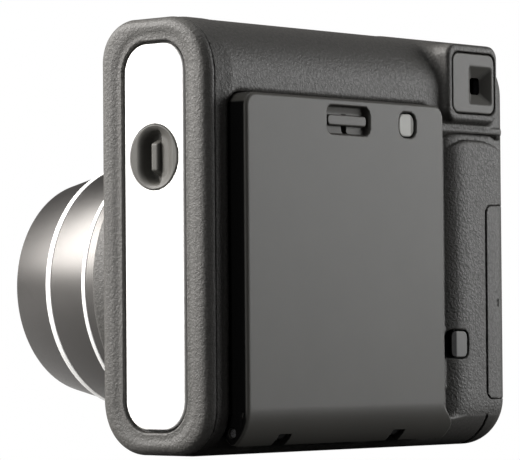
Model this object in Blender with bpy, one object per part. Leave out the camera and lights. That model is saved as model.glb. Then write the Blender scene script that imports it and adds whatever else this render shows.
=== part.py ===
"""Square-format instant camera with a telescoping lens, as separate fixed and moving pieces.

Frame: +Z up with the base at Z = 0, the lens looks along -Y, the strap lug is on the +X end,
and the origin lies under the middle of the bounding box. Sizes and places are millimetres;
add_part and add_cutter turn them into metres.
"""
import math

import bmesh
import bpy
from mathutils import Vector

MM = 0.001

# The outlines are drawn from a datum this far in front of the middle of the whole model
DATUM_Y = 1.28

# Body shell
BODY_WIDTH = 134.1
BODY_HEIGHT = 121.0
FRONT_Y = 1.8
BACK_Y = 44.5
SPLIT_Y = 23.0
WALL = 2.0
GAP = 0.3
CORNERS = (15.5, 14.0, 17.0, 12.5)     # front bottom, rear bottom, rear top, front top
LEFT_EDGE = 5.0
RIGHT_EDGE = 9.0
END_CAP = 3.45
CORNER_STEPS = 7
EDGE_STEPS = 4

# Lens
LENS_X = 15.25
LENS_Z = 47.8
LENS_FRONT_Y = -52.4
FRONT_RIM_R = 31.35
FRONT_TUBE_R = 35.0
MID_BORE_R = 35.3
MID_FRONT_R = 35.8
MID_REAR_R = 36.8
RING_BORE_R = 37.1
RING_R = 37.8
COLLAR_BORE_R = 38.3
COLLAR_R = 41.5
COLLAR_Y = -11.3
FRONT_TRIM_Y = (-35.6, -33.6)
RING_TRIM_Y = (-19.0, -17.4)
TURN_STEPS = 48

# Film door, hinged on its rounded lower edge
DOOR_X = (-27.56, 58.06)
DOOR_TOP = 99.4
DOOR_BACK_Y = 49.84
DOOR_FRONT_Y = 42.0
DOOR_ROLL_R = 13.0
DOOR_ROLL_Z = 13.4
DOOR_FLARE = 5.4
DOOR_FLARE_Z = (6.0, 13.0)
HINGE_Y = 43.77
HINGE_Z = 6.47
HINGE_R = 3.2
PIN_R = 1.2
HINGE_XS = (-9.0, 40.0)

# Latch and window of the film door
LATCH_X = 15.1
LATCH_Z = 93.2
LATCH_SIZE = (18.5, 8.0)
LATCH_BAR = (16.8, 3.1)
LATCH_TRAVEL = 2.1
DOOR_WINDOW_X = (-14.7, -7.2)
DOOR_WINDOW_Z = (89.4, 96.6)

# Side panel and strap lug on the +X end
PANEL_Y = (11.9, 34.7)
PANEL_Z = (7.3, 113.45)
PANEL_R = 8.0
PANEL_X = (65.0, 66.3)
LUG_Y = 23.1
LUG_Z = 82.2
LUG_R = 9.0

# Viewfinder
FINDER_X = -48.2
FINDER_Z = 106.4
FINDER_BLOCK_X = (-56.6, -32.8)
FINDER_BLOCK_Z = (94.0, 118.5)
FINDER_BLOCK_Y = 47.3
EYE_PLATE_X = (-54.84, -35.15)
EYE_PLATE_Z = (98.1, 115.8)

# Battery compartment in the grip
BATTERY_DOOR_Z = (13.7, 71.3)
BATTERY_DOOR_X = -54.0
BATTERY_DOOR_Y = 13.3
BATTERY_X = -55.4
BATTERY_Y = 24.8
BATTERY_R = 7.8
BATTERY_LENGTH = 27.0

# Film transport
FILM_Y = 28.8
FILM_WIDTH = 72.0
PACK_X = (-24.25, 54.75)
PACK_Y = (27.3, 40.3)
PACK_Z = (7.4, 99.1)
IMAGE_SIZE = 62.0
ROLLER_R = 4.2
ROLLER_Z = 106.0
FRONT_ROLLER_Y = FILM_Y - 4.4
REAR_ROLLER_Y = FILM_Y + 4.4
GEAR_MODULE = 0.8
DRIVE_TEETH = 16
IDLER_TEETH = 20
PINION_TEETH = 12
SYNC_TEETH = 11
GEAR_X = (-33.2, -30.4)
MOTOR_Y = 30.0
MOTOR_Z = 82.0

# Shutter button on the front of the grip
BUTTON_X = -47.0
BUTTON_Z = 70.0
BUTTON_R = 8.5

# Colour (linear RGB), roughness and metallic value of each finish
FINISHES = {
    "leather": ((0.085, 0.083, 0.078), 0.62, 0.0),
    "shell": ((0.115, 0.112, 0.105), 0.48, 0.0),
    "black": ((0.012, 0.012, 0.013), 0.55, 0.0),
    "silver": ((0.86, 0.86, 0.85), 0.32, 0.25),
    "gunmetal": ((0.23, 0.22, 0.21), 0.34, 0.85),
    "steel": ((0.55, 0.55, 0.56), 0.30, 1.0),
    "mirror": ((0.90, 0.91, 0.92), 0.04, 1.0),
    "glass": ((0.55, 0.60, 0.62), 0.05, 0.0),
    "lens_glass": ((0.10, 0.09, 0.16), 0.03, 0.0),
    "white": ((0.80, 0.80, 0.78), 0.45, 0.0),
    "nylon": ((0.70, 0.68, 0.60), 0.45, 0.0),
    "board": ((0.03, 0.16, 0.07), 0.50, 0.0),
    "cell": ((0.62, 0.48, 0.18), 0.35, 0.6),
    "rubber": ((0.02, 0.02, 0.02), 0.85, 0.0),
}


def clear_scene():
    for obj in list(bpy.data.objects):
        bpy.data.objects.remove(obj, do_unlink=True)


def new_material(name, finish):
    color, roughness, metallic = FINISHES[finish]
    mat = bpy.data.materials.new(name)
    mat.use_nodes = True
    shader = mat.node_tree.nodes["Principled BSDF"]
    shader.inputs["Base Color"].default_value = (*color, 1.0)
    shader.inputs["Roughness"].default_value = roughness
    shader.inputs["Metallic"].default_value = metallic
    mat.diffuse_color = (*color, 1.0)
    return mat


def link_object(name, bm, pivot):
    """Make an object in metres from a bmesh drawn in millimetres, with its origin at pivot."""
    bmesh.ops.recalc_face_normals(bm, faces=bm.faces)
    bmesh.ops.translate(bm, verts=bm.verts, vec=-Vector(pivot))
    bmesh.ops.scale(bm, verts=bm.verts, vec=(MM, MM, MM))
    mesh = bpy.data.meshes.new(name)
    bm.to_mesh(mesh)
    bm.free()
    obj = bpy.data.objects.new(name, mesh)
    obj.location = (Vector(pivot) + Vector((0.0, DATUM_Y, 0.0))) * MM
    bpy.context.collection.objects.link(obj)
    return obj


def add_part(name, bm, finish, pivot=(0.0, 0.0, 0.0), round_angle=None):
    obj = link_object(name, bm, pivot)
    obj.data.materials.append(new_material(name, finish))
    if round_angle is not None:
        obj.data.shade_smooth()
        obj.data.set_sharp_from_angle(angle=math.radians(round_angle))
    return obj


def add_cutter(name, bm):
    obj = link_object(name, bm, (0.0, 0.0, 0.0))
    obj.hide_render = True
    obj.display_type = "WIRE"
    return obj


def boolean(obj, operation, cutter, solver="EXACT"):
    mod = obj.modifiers.new(cutter.name, "BOOLEAN")
    mod.operation = operation
    mod.object = cutter
    mod.solver = solver


def shell_boolean(cover, operation, cutter):
    """Boolean on a thin shell, where the exact solver loses faces."""
    boolean(cover, operation, cutter, "MANIFOLD")


def place(axis, u, v, w):
    """Point with in-plane coordinates u, v and distance w along the named axis."""
    if axis == "X":
        return Vector((w, u, v))
    if axis == "Y":
        return Vector((u, w, v))
    return Vector((u, v, w))


def arc(cu, cv, radius, start, end, steps):
    """Points on a circular arc, with its angles in degrees."""
    angles = [math.radians(start + (end - start) * i / steps) for i in range(steps + 1)]
    return [(cu + radius * math.cos(a), cv + radius * math.sin(a)) for a in angles]


def circle(cu, cv, radius, steps):
    return arc(cu, cv, radius, 0.0, 360.0, steps)[:-1]


def rounded_rect(u0, u1, v0, v1, radii, steps=4):
    """Outline of a rectangle; radii run (u0, v0), (u1, v0), (u1, v1), (u0, v1)."""
    if isinstance(radii, (int, float)):
        radii = (radii,) * 4
    r0, r1, r2, r3 = radii
    points = arc(u0 + r0, v0 + r0, r0, 180.0, 270.0, steps)
    points += arc(u1 - r1, v0 + r1, r1, 270.0, 360.0, steps)
    points += arc(u1 - r2, v1 - r2, r2, 0.0, 90.0, steps)
    points += arc(u0 + r3, v1 - r3, r3, 90.0, 180.0, steps)
    return points


def rectangle(u0, u1, v0, v1):
    return [(u0, v0), (u1, v0), (u1, v1), (u0, v1)]


def link_outline(p0, r0, p1, r1, steps=8):
    """Outline round two circles and the straight tangents between them."""
    du = p1[0] - p0[0]
    dv = p1[1] - p0[1]
    heading = math.degrees(math.atan2(dv, du))
    spread = math.degrees(math.acos((r0 - r1) / math.hypot(du, dv)))
    points = arc(*p0, r0, heading + spread, heading + 360.0 - spread, steps)
    points += arc(*p1, r1, heading - spread, heading + spread, steps)
    return points


def loft(bm, rings, closed=False):
    """Skin rings of equally many points; cap the ends unless the last meets the first."""
    layers = [[bm.verts.new(point) for point in ring] for ring in rings]
    pairs = list(zip(layers, layers[1:]))
    if closed:
        pairs.append((layers[-1], layers[0]))
    for low, high in pairs:
        for i, vert in enumerate(low):
            j = (i + 1) % len(low)
            bm.faces.new((vert, low[j], high[j], high[i]))
    if not closed:
        bm.faces.new(layers[0][::-1])
        bm.faces.new(layers[-1])
    return bm


def prism(outline, axis, low, high, far_outline=None):
    """Outline pushed along an axis; far_outline changes its shape at the far end."""
    near = [place(axis, u, v, low) for u, v in outline]
    far = [place(axis, u, v, high) for u, v in (far_outline or outline)]
    return loft(bmesh.new(), [near, far])


def block(x, y, z):
    return prism(rectangle(*x, *y), "Z", *z)


def ring_prism(outer, inner, axis, low, high):
    """Tube wall between two outlines of equally many points."""
    rings = []
    for outline, w in ((outer, low), (outer, high), (inner, high), (inner, low)):
        rings.append([place(axis, u, v, w) for u, v in outline])
    return loft(bmesh.new(), rings, closed=True)


def turned(profile, cu, cv, axis="Y", steps=TURN_STEPS):
    """Closed profile of (radius, along) points spun about an axis; radius 0 lies on the axis."""
    bm = bmesh.new()
    rings = []
    for radius, w in profile:
        if radius == 0.0:
            rings.append([bm.verts.new(place(axis, cu, cv, w))])
        else:
            points = circle(cu, cv, radius, steps)
            rings.append([bm.verts.new(place(axis, u, v, w)) for u, v in points])
    pairs = list(zip(rings, rings[1:]))
    if len(rings[0]) > 1:
        pairs.append((rings[-1], rings[0]))
    for low, high in pairs:
        for i in range(steps):
            j = (i + 1) % steps
            corners = [low[i % len(low)], low[j % len(low)], high[j % len(high)], high[i % len(high)]]
            unique = list(dict.fromkeys(corners))
            bm.faces.new(unique)
    return bm


def disc(cu, cv, radius, axis, low, high, steps=24):
    return prism(circle(cu, cv, radius, steps), axis, low, high)


def filleted_bar(axis, low, high, section, low_edge, high_edge, steps=EDGE_STEPS):
    """Bar along an axis; section(inset) gives its outline and its end edges are rounded."""
    rings = []
    for i in range(steps + 1):
        turn = math.radians(90.0 * i / steps)
        outline = section(low_edge * (1.0 - math.sin(turn)))
        w = low + low_edge * (1.0 - math.cos(turn))
        rings.append([place(axis, u, v, w) for u, v in outline])
    for i in range(steps + 1):
        turn = math.radians(90.0 - 90.0 * i / steps)
        outline = section(high_edge * (1.0 - math.sin(turn)))
        w = high - high_edge * (1.0 - math.cos(turn))
        rings.append([place(axis, u, v, w) for u, v in outline])
    return loft(bmesh.new(), rings)


def gear_outline(teeth, cu, cv, phase):
    """Straight-flanked gear teeth round a centre; phase is the angle of one tooth's middle."""
    pitch_r = GEAR_MODULE * teeth / 2.0
    tip_r = pitch_r + 0.7 * GEAR_MODULE
    root_r = pitch_r - 1.0 * GEAR_MODULE
    step = 2.0 * math.pi / teeth
    points = []
    for i in range(teeth):
        middle = phase + i * step
        for share, radius in ((-0.29, root_r), (-0.10, tip_r), (0.10, tip_r), (0.29, root_r)):
            angle = middle + share * step
            points.append((cu + radius * math.cos(angle), cv + radius * math.sin(angle)))
    return points


def coil(axis, cu, cv, low, high, radius, wire_r, turns, steps=10, sides=6):
    """Compression spring: a round wire wound about an axis, with flat ends."""
    bm = bmesh.new()
    rings = []
    count = int(turns * steps)
    for i in range(count + 1):
        angle = 2.0 * math.pi * i / steps
        along = low + wire_r + (high - low - 2.0 * wire_r) * i / count
        ring = []
        for k in range(sides):
            tilt = 2.0 * math.pi * k / sides
            r = radius + wire_r * math.cos(tilt)
            w = along + wire_r * math.sin(tilt)
            ring.append(place(axis, cu + r * math.cos(angle), cv + r * math.sin(angle), w))
        rings.append(ring)
    return loft(bm, rings)


# ---------------------------------------------------------------- body shells

def body_section(inset):
    radii = [max(r - inset, 0.5) for r in CORNERS]
    return rounded_rect(FRONT_Y + inset, BACK_Y - inset, inset, BODY_HEIGHT - inset,
                        radii, CORNER_STEPS)


def body_hull(inset=0.0):
    """Whole body as one rounded solid, or the same moved in by inset all round."""
    half = BODY_WIDTH / 2.0 - inset
    return filleted_bar("X", -half, half, lambda extra: body_section(inset + extra),
                        RIGHT_EDGE - inset, LEFT_EDGE - inset)


def cap_plane():
    return BODY_WIDTH / 2.0 - END_CAP


def window_cutter(name, x, z, radius, y):
    return add_cutter(name, prism(rounded_rect(*x, *z, radius, 3), "Y", *y))


def around(centre, size, extra=0.0):
    """Low and high ends of a stretch about a centre, widened by extra at each end."""
    return (centre - size / 2.0 - extra, centre + size / 2.0 + extra)


FLASH_X = around(38.5, 27.0)
FLASH_Z = around(103.5, 13.6)
FINDER_WINDOW_X = around(FINDER_X + 1.2, 19.0)
FINDER_WINDOW_Z = around(103.5, 13.6)
SENSOR_XS = (-17.5, -7.5)
SENSOR_Z = 107.5
SENSOR_SIZE = 5.6


def make_front_cover(cavity):
    half = cap_plane() - GAP / 2.0
    cover = add_part("front_cover", body_hull(), "leather", round_angle=40)
    keep = block((-half, half), (-5.0, SPLIT_Y - GAP / 2.0), (-5.0, 130.0))
    shell_boolean(cover, "INTERSECT", add_cutter("front_half", keep))
    collar = turned([(COLLAR_R - 2.0, COLLAR_Y), (COLLAR_R, COLLAR_Y + 2.0),
                     (COLLAR_R, FRONT_Y + 1.2), (COLLAR_BORE_R - 0.8, FRONT_Y + 1.2),
                     (COLLAR_BORE_R - 0.8, COLLAR_Y)], LENS_X, LENS_Z)
    shell_boolean(cover, "UNION", add_cutter("lens_collar", collar))
    shell_boolean(cover, "DIFFERENCE", cavity)
    bore = disc(LENS_X, LENS_Z, COLLAR_BORE_R, "Y", -20.0, 10.0, TURN_STEPS)
    shell_boolean(cover, "DIFFERENCE", add_cutter("lens_bore", bore))
    hole = disc(BUTTON_X, BUTTON_Z, BUTTON_R + GAP, "Y", -4.0, 6.0, 32)
    shell_boolean(cover, "DIFFERENCE", add_cutter("button_hole", hole))
    reach = (-3.0, 8.0)
    grow = GAP
    windows = [("flash_hole", FLASH_X, FLASH_Z, 2.0), ("finder_hole", FINDER_WINDOW_X,
                                                       FINDER_WINDOW_Z, 2.0)]
    for i, x in enumerate(SENSOR_XS):
        windows.append((f"sensor_hole_{i}", around(x, SENSOR_SIZE), around(SENSOR_Z, SENSOR_SIZE), 1.5))
    for name, x, z, radius in windows:
        cutter = window_cutter(name, (x[0] - grow, x[1] + grow), (z[0] - grow, z[1] + grow), radius, reach)
        shell_boolean(cover, "DIFFERENCE", cutter)


def finder_block():
    def section(inset):
        return rounded_rect(FINDER_BLOCK_X[0] + inset, FINDER_BLOCK_X[1] - inset,
                            FINDER_BLOCK_Z[0] + inset, FINDER_BLOCK_Z[1] - inset, 3.8 - inset, 3)
    return filleted_bar("Y", 32.0, FINDER_BLOCK_Y, section, 0.02, 1.8, 3)


def hinge_ear(x):
    """Ear that reaches back from the base to hold the film door's pin."""
    outline = [(36.4, 2.4), (38.9, 3.6)]
    outline += arc(HINGE_Y, HINGE_Z, 2.2, -115.0, 125.0, 8)
    outline += [(HINGE_Y - 2.8, HINGE_Z + 0.6), (39.9, 6.0), (36.4, 4.4)]
    return prism(outline, "X", *around(x, 4.0))


def door_face(grow):
    """Film door seen from behind: square sides and a foot that flares out towards the grip."""
    corner = 4.0
    left = DOOR_X[1] + grow
    right = DOOR_X[0] - grow
    top = DOOR_TOP + grow
    outline = [(right - DOOR_FLARE, -3.0), (left, -3.0)]
    outline += arc(left - corner, top - corner, corner, 0.0, 90.0, 4)
    outline += arc(right + corner, top - corner, corner, 90.0, 180.0, 4)
    steps = 8
    for i in range(steps + 1):
        t = i / steps
        reach = DOOR_FLARE * t * t * (3.0 - 2.0 * t)
        outline.append((right - reach, DOOR_FLARE_Z[1] - (DOOR_FLARE_Z[1] - DOOR_FLARE_Z[0]) * t))
    return outline


def make_rear_cover(cavity):
    half = cap_plane() - GAP / 2.0
    cover = add_part("rear_cover", body_hull(), "leather", round_angle=40)
    keep = block((-half, half), (SPLIT_Y + GAP / 2.0, 60.0), (-5.0, 130.0))
    shell_boolean(cover, "INTERSECT", add_cutter("rear_half", keep))
    shell_boolean(cover, "UNION", add_cutter("finder_block", finder_block()))
    shell_boolean(cover, "DIFFERENCE", cavity)
    opening = prism(door_face(0.35), "Y", 40.1, 60.0)
    shell_boolean(cover, "DIFFERENCE", add_cutter("film_opening", opening))
    sweep = block((DOOR_X[0] - DOOR_FLARE - 0.35, DOOR_X[1] + 0.35), (39.5, 44.0), (-1.0, 11.2))
    shell_boolean(cover, "DIFFERENCE", add_cutter("hinge_sweep", sweep))
    for i, x in enumerate(HINGE_XS):
        shell_boolean(cover, "UNION", add_cutter(f"hinge_ear_{i}", hinge_ear(x)))
    bore = disc(HINGE_Y, HINGE_Z, PIN_R + 0.3, "X", DOOR_X[0] + 0.5, DOOR_X[1] - 0.5, 12)
    shell_boolean(cover, "DIFFERENCE", add_cutter("ear_bores", bore))
    pocket = window_cutter("eye_pocket", (EYE_PLATE_X[0] - GAP, EYE_PLATE_X[1] + GAP),
                           (EYE_PLATE_Z[0] - GAP, EYE_PLATE_Z[1] + GAP), 3.0, (44.4, 60.0))
    shell_boolean(cover, "DIFFERENCE", pocket)
    bore = block(around(FINDER_X, 13.7), (38.0, 50.0), around(FINDER_Z, 13.7))
    shell_boolean(cover, "DIFFERENCE", add_cutter("finder_bore", bore))
    counter = window_cutter("counter_hole", around(-41.4, 8.2), around(30.0, 8.4), 2.2, (38.0, 60.0))
    shell_boolean(cover, "DIFFERENCE", counter)
    side = block((-80.0, BATTERY_DOOR_X + GAP), (SPLIT_Y - 5.0, 60.0),
                 (BATTERY_DOOR_Z[0] - GAP, BATTERY_DOOR_Z[1] + GAP))
    shell_boolean(cover, "DIFFERENCE", add_cutter("battery_opening_rear", side))
    slot = block(around(LENS_X, FILM_WIDTH + 5.0), around(FILM_Y, 5.0), (112.0, 130.0))
    shell_boolean(cover, "DIFFERENCE", add_cutter("film_exit", slot))


def panel_outline(grow=0.0):
    return rounded_rect(PANEL_Y[0] - grow, PANEL_Y[1] + grow, PANEL_Z[0] - grow,
                        PANEL_Z[1] + grow, PANEL_R + grow, 6)


def make_end_caps():
    plane = cap_plane() + GAP / 2.0
    left = add_part("left_end_cap", body_hull(), "leather", round_angle=40)
    keep = block((plane, 80.0), (-10.0, 60.0), (-5.0, 130.0))
    boolean(left, "INTERSECT", add_cutter("left_end", keep))
    outline = panel_outline(0.7)
    pocket = prism(outline, "X", PANEL_X[0] - GAP, 75.0)
    boolean(left, "DIFFERENCE", add_cutter("panel_pocket", pocket))
    dish = prism(panel_outline(1.5), "X", PANEL_X[1] - 0.05, 67.2, panel_outline(4.4))
    boolean(left, "DIFFERENCE", add_cutter("panel_dish", dish))
    bore = disc(LUG_Y, LUG_Z, LUG_R + GAP, "X", 58.0, 75.0, 32)
    boolean(left, "DIFFERENCE", add_cutter("lug_bore", bore))

    right = add_part("right_end_cap", body_hull(), "leather", round_angle=40)
    keep = block((-80.0, -plane), (-10.0, 60.0), (-5.0, 130.0))
    boolean(right, "INTERSECT", add_cutter("right_end", keep))
    opening = block((-80.0, -50.0), (BATTERY_DOOR_Y - GAP, 60.0),
                    (BATTERY_DOOR_Z[0] - GAP, BATTERY_DOOR_Z[1] + GAP))
    boolean(right, "DIFFERENCE", add_cutter("battery_opening_side", opening))


def make_side_panel():
    panel = add_part("side_panel", prism(panel_outline(), "X", *PANEL_X), "silver", round_angle=40)
    hole = disc(LUG_Y, LUG_Z, LUG_R + GAP, "X", 60.0, 75.0, 32)
    boolean(panel, "DIFFERENCE", add_cutter("panel_hole", hole))


def make_strap_lug():
    rim = PANEL_X[1] + 0.2
    cup = turned([(0.0, 59.9), (LUG_R, 59.9), (LUG_R, rim), (LUG_R - 0.9, rim),
                  (LUG_R - 1.0, 61.3), (0.0, 61.3)], LUG_Y, LUG_Z, "X", 32)
    add_part("strap_lug_cup", cup, "shell", round_angle=40)
    bar = prism(rounded_rect(*around(LUG_Y, 3.0), *around(LUG_Z, 15.2), 1.2, 3), "X", 63.6, 66.3)
    add_part("strap_lug_bar", bar, "shell", round_angle=40)


# ---------------------------------------------------------------- doors

def make_film_door():
    outline = [(DOOR_FRONT_Y, DOOR_TOP), (DOOR_BACK_Y - 1.0, DOOR_TOP), (DOOR_BACK_Y, DOOR_TOP - 1.0)]
    outline += arc(DOOR_BACK_Y - DOOR_ROLL_R, DOOR_ROLL_Z, DOOR_ROLL_R, 0.0, -56.0, 12)
    outline += arc(HINGE_Y, HINGE_Z, HINGE_R, -150.0, -260.0, 8)
    outline += [(DOOR_FRONT_Y, HINGE_Z + 5.2)]
    pivot = (LENS_X, HINGE_Y, HINGE_Z)
    width = (DOOR_X[0] - DOOR_FLARE - 2.0, DOOR_X[1] + 2.0)
    door = add_part("film_door", prism(outline, "X", *width), "shell", pivot, 40)
    rim = prism(door_face(0.0), "Y", 36.0, 56.0)
    boolean(door, "INTERSECT", add_cutter("door_rim", rim))
    hollow = block((DOOR_X[0] + WALL, DOOR_X[1] - WALL), (30.0, DOOR_BACK_Y - WALL),
                   (DOOR_ROLL_Z + 0.6, DOOR_TOP - WALL))
    boolean(door, "DIFFERENCE", add_cutter("door_hollow", hollow))
    box = block(around(LATCH_X, LATCH_SIZE[0], WALL), (44.6, 48.5), (87.0, DOOR_TOP - 1.0))
    boolean(door, "UNION", add_cutter("latch_box", box))
    pocket = prism(rounded_rect(*around(LATCH_X, LATCH_SIZE[0]), *around(LATCH_Z, LATCH_SIZE[1]),
                                2.5, 3), "Y", 45.9, 55.0)
    boolean(door, "DIFFERENCE", add_cutter("latch_pocket", pocket))
    slot = block(around(LATCH_X, 6.8), (40.0, 50.0), (LATCH_Z - 4.0, LATCH_Z + 1.7))
    boolean(door, "DIFFERENCE", add_cutter("latch_slot", slot))
    hole = prism(rounded_rect(*DOOR_WINDOW_X, *DOOR_WINDOW_Z, 3.4, 3), "Y", 45.0, 55.0)
    boolean(door, "DIFFERENCE", add_cutter("door_window_hole", hole))
    bore = disc(HINGE_Y, HINGE_Z, PIN_R + 0.35, "X", DOOR_X[0] - DOOR_FLARE - 2.0, DOOR_X[1] + 2.0, 16)
    boolean(door, "DIFFERENCE", add_cutter("pin_bore", bore))
    for i, x in enumerate(HINGE_XS):
        swing = arc(HINGE_Y, HINGE_Z, 7.0, 155.0, 320.0, 8) + [(HINGE_Y, HINGE_Z)]
        notch = prism(swing, "X", *around(x, 5.0))
        boolean(door, "DIFFERENCE", add_cutter(f"hinge_notch_{i}", notch))
        eye = disc(HINGE_Y, HINGE_Z, HINGE_R + 0.2, "X", *around(x, 5.0), 16)
        boolean(door, "DIFFERENCE", add_cutter(f"hinge_eye_{i}", eye))

    frame = rounded_rect(DOOR_WINDOW_X[0] + GAP, DOOR_WINDOW_X[1] - GAP, DOOR_WINDOW_Z[0] + GAP,
                         DOOR_WINDOW_Z[1] - GAP, 3.1, 3)
    add_part("film_door_window", prism(frame, "Y", 48.0, 49.4), "glass", round_angle=40)


def make_hinge_pin():
    pin = disc(HINGE_Y, HINGE_Z, PIN_R, "X", DOOR_X[0] + 0.8, DOOR_X[1] - 0.8, 12)
    add_part("door_hinge_pin", pin, "steel", (LENS_X, HINGE_Y, HINGE_Z), 40)


def make_latch():
    bar = prism(rounded_rect(*around(LATCH_X, LATCH_BAR[0]), *around(LATCH_Z, LATCH_BAR[1]), 1.0, 2),
                "Y", 46.2, 49.3)
    latch = add_part("door_latch", bar, "shell", (LATCH_X, 46.2, LATCH_Z), 40)
    stem = block(around(LATCH_X, 6.0), (42.2, 46.8), around(LATCH_Z, 2.4))
    boolean(latch, "UNION", add_cutter("latch_stem", stem))
    plate = block(around(LATCH_X, 46.0), (42.2, 43.6), around(LATCH_Z, 3.4))
    boolean(latch, "UNION", add_cutter("latch_plate", plate))
    for i, side in enumerate((-1.0, 1.0)):
        hook = block(around(LATCH_X + side * 21.0, 4.0), (42.2, 43.6), (LATCH_Z, LATCH_Z + 3.8))
        boolean(latch, "UNION", add_cutter(f"latch_hook_{i}", hook))
    top = LATCH_Z - 1.7 - LATCH_TRAVEL - GAP
    spring = coil("Z", LATCH_X, 42.85, 80.6, top, 1.1, 0.3, 6, 8, 5)
    add_part("door_latch_spring", spring, "steel", round_angle=60)


def make_pack_springs():
    """Two bent steel strips on the door that press the film pack forward."""
    for name, z in (("pack_spring_lower", 32.0), ("pack_spring_upper", 68.0)):
        thick = 0.5
        upper = [(LENS_X - 26.0, 47.4), (LENS_X - 20.0, 47.4), (LENS_X - 9.0, 41.4),
                 (LENS_X + 9.0, 41.4), (LENS_X + 20.0, 47.4), (LENS_X + 26.0, 47.4)]
        lower = [(x, y - thick) for x, y in reversed(upper)]
        add_part(name, prism(upper + lower, "Z", z - 5.0, z + 5.0), "steel")


def make_battery_door(cavity):
    pivot = (-BODY_WIDTH / 2.0, BATTERY_DOOR_Y - GAP / 2.0, sum(BATTERY_DOOR_Z) / 2.0)
    door = add_part("battery_door", body_hull(), "shell", pivot, 40)
    keep = block((-80.0, BATTERY_DOOR_X), (BATTERY_DOOR_Y, 60.0), BATTERY_DOOR_Z)
    boolean(door, "INTERSECT", add_cutter("battery_side", keep))
    boolean(door, "DIFFERENCE", cavity)


# ---------------------------------------------------------------- viewfinder, flash, windows

def make_viewfinder():
    plate = prism(rounded_rect(*EYE_PLATE_X, *EYE_PLATE_Z, 2.7, 4), "Y", 44.8, 47.2)
    plate = add_part("eyepiece_plate", plate, "shell", round_angle=40)
    mouth = rectangle(*around(FINDER_X, 11.0), *around(FINDER_Z, 11.4))
    throat = rectangle(*around(FINDER_X, 4.2), *around(FINDER_Z, 4.6))
    boolean(plate, "DIFFERENCE", add_cutter("eye_mouth", prism(throat, "Y", 44.9, 47.3, mouth)))
    hole = block(around(FINDER_X, 4.0), (40.0, 46.0), around(FINDER_Z, 4.4))
    boolean(plate, "DIFFERENCE", add_cutter("eye_throat", hole))

    outer = rectangle(*around(FINDER_X, 13.0), *around(FINDER_Z, 13.0))
    inner = rectangle(*around(FINDER_X, 10.4), *around(FINDER_Z, 10.4))
    add_part("finder_tube", ring_prism(outer, inner, "Y", 6.2, 44.1), "black")
    lens = rounded_rect(*around(FINDER_X, 9.8), *around(FINDER_Z, 9.8), 1.5, 3)
    add_part("eyepiece_lens", prism(lens, "Y", 40.6, 42.8), "glass", round_angle=40)
    add_part("finder_objective", prism(lens, "Y", 8.0, 10.0), "glass", round_angle=40)
    window = rounded_rect(*FINDER_WINDOW_X, *FINDER_WINDOW_Z, 1.8, 3)
    add_part("finder_window", prism(window, "Y", 2.0, 3.6), "glass", round_angle=40)


def make_flash():
    window = rounded_rect(*FLASH_X, *FLASH_Z, 1.8, 3)
    add_part("flash_window", prism(window, "Y", 2.0, 3.6), "glass", round_angle=40)
    centre_x = sum(FLASH_X) / 2.0
    centre_z = sum(FLASH_Z) / 2.0
    outer = rectangle(*around(centre_x, 25.0), *around(centre_z, 12.4))
    back = rectangle(*around(centre_x, 21.0), *around(centre_z, 5.4))
    reflector = add_part("flash_reflector", prism(outer, "Y", 4.0, 11.5, back), "mirror")
    mouth = rectangle(*around(centre_x, 23.6), *around(centre_z, 11.0))
    floor = rectangle(*around(centre_x, 19.6), *around(centre_z, 4.2))
    boolean(reflector, "DIFFERENCE", add_cutter("flash_mouth", prism(mouth, "Y", 3.9, 10.8, floor)))
    tube = disc(8.6, centre_z, 1.2, "X", centre_x - 9.0, centre_x + 9.0, 12)
    add_part("flash_tube", tube, "glass", round_angle=40)
    add_part("flash_capacitor", disc(-38.6, 12.9, 5.5, "Z", 10.0, 47.0, 20), "black", round_angle=40)


def make_sensor_windows():
    for name, x in zip(("flash_sensor_window", "light_meter_window"), SENSOR_XS):
        outline = rounded_rect(*around(x, SENSOR_SIZE), *around(SENSOR_Z, SENSOR_SIZE), 1.3, 3)
        add_part(name, prism(outline, "Y", 1.9, 3.6), "lens_glass", round_angle=40)


def make_counter():
    outline = rounded_rect(*around(-41.4, 7.6), *around(30.0, 7.8), 1.9, 3)
    add_part("counter_window", prism(outline, "Y", 42.6, 43.8), "glass", round_angle=40)
    dial = disc(-44.6, 26.4, 8.2, "Y", 40.4, 41.4, 32)
    add_part("counter_dial", dial, "black", (-44.6, 40.9, 26.4), 40)


# ---------------------------------------------------------------- lens

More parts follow.
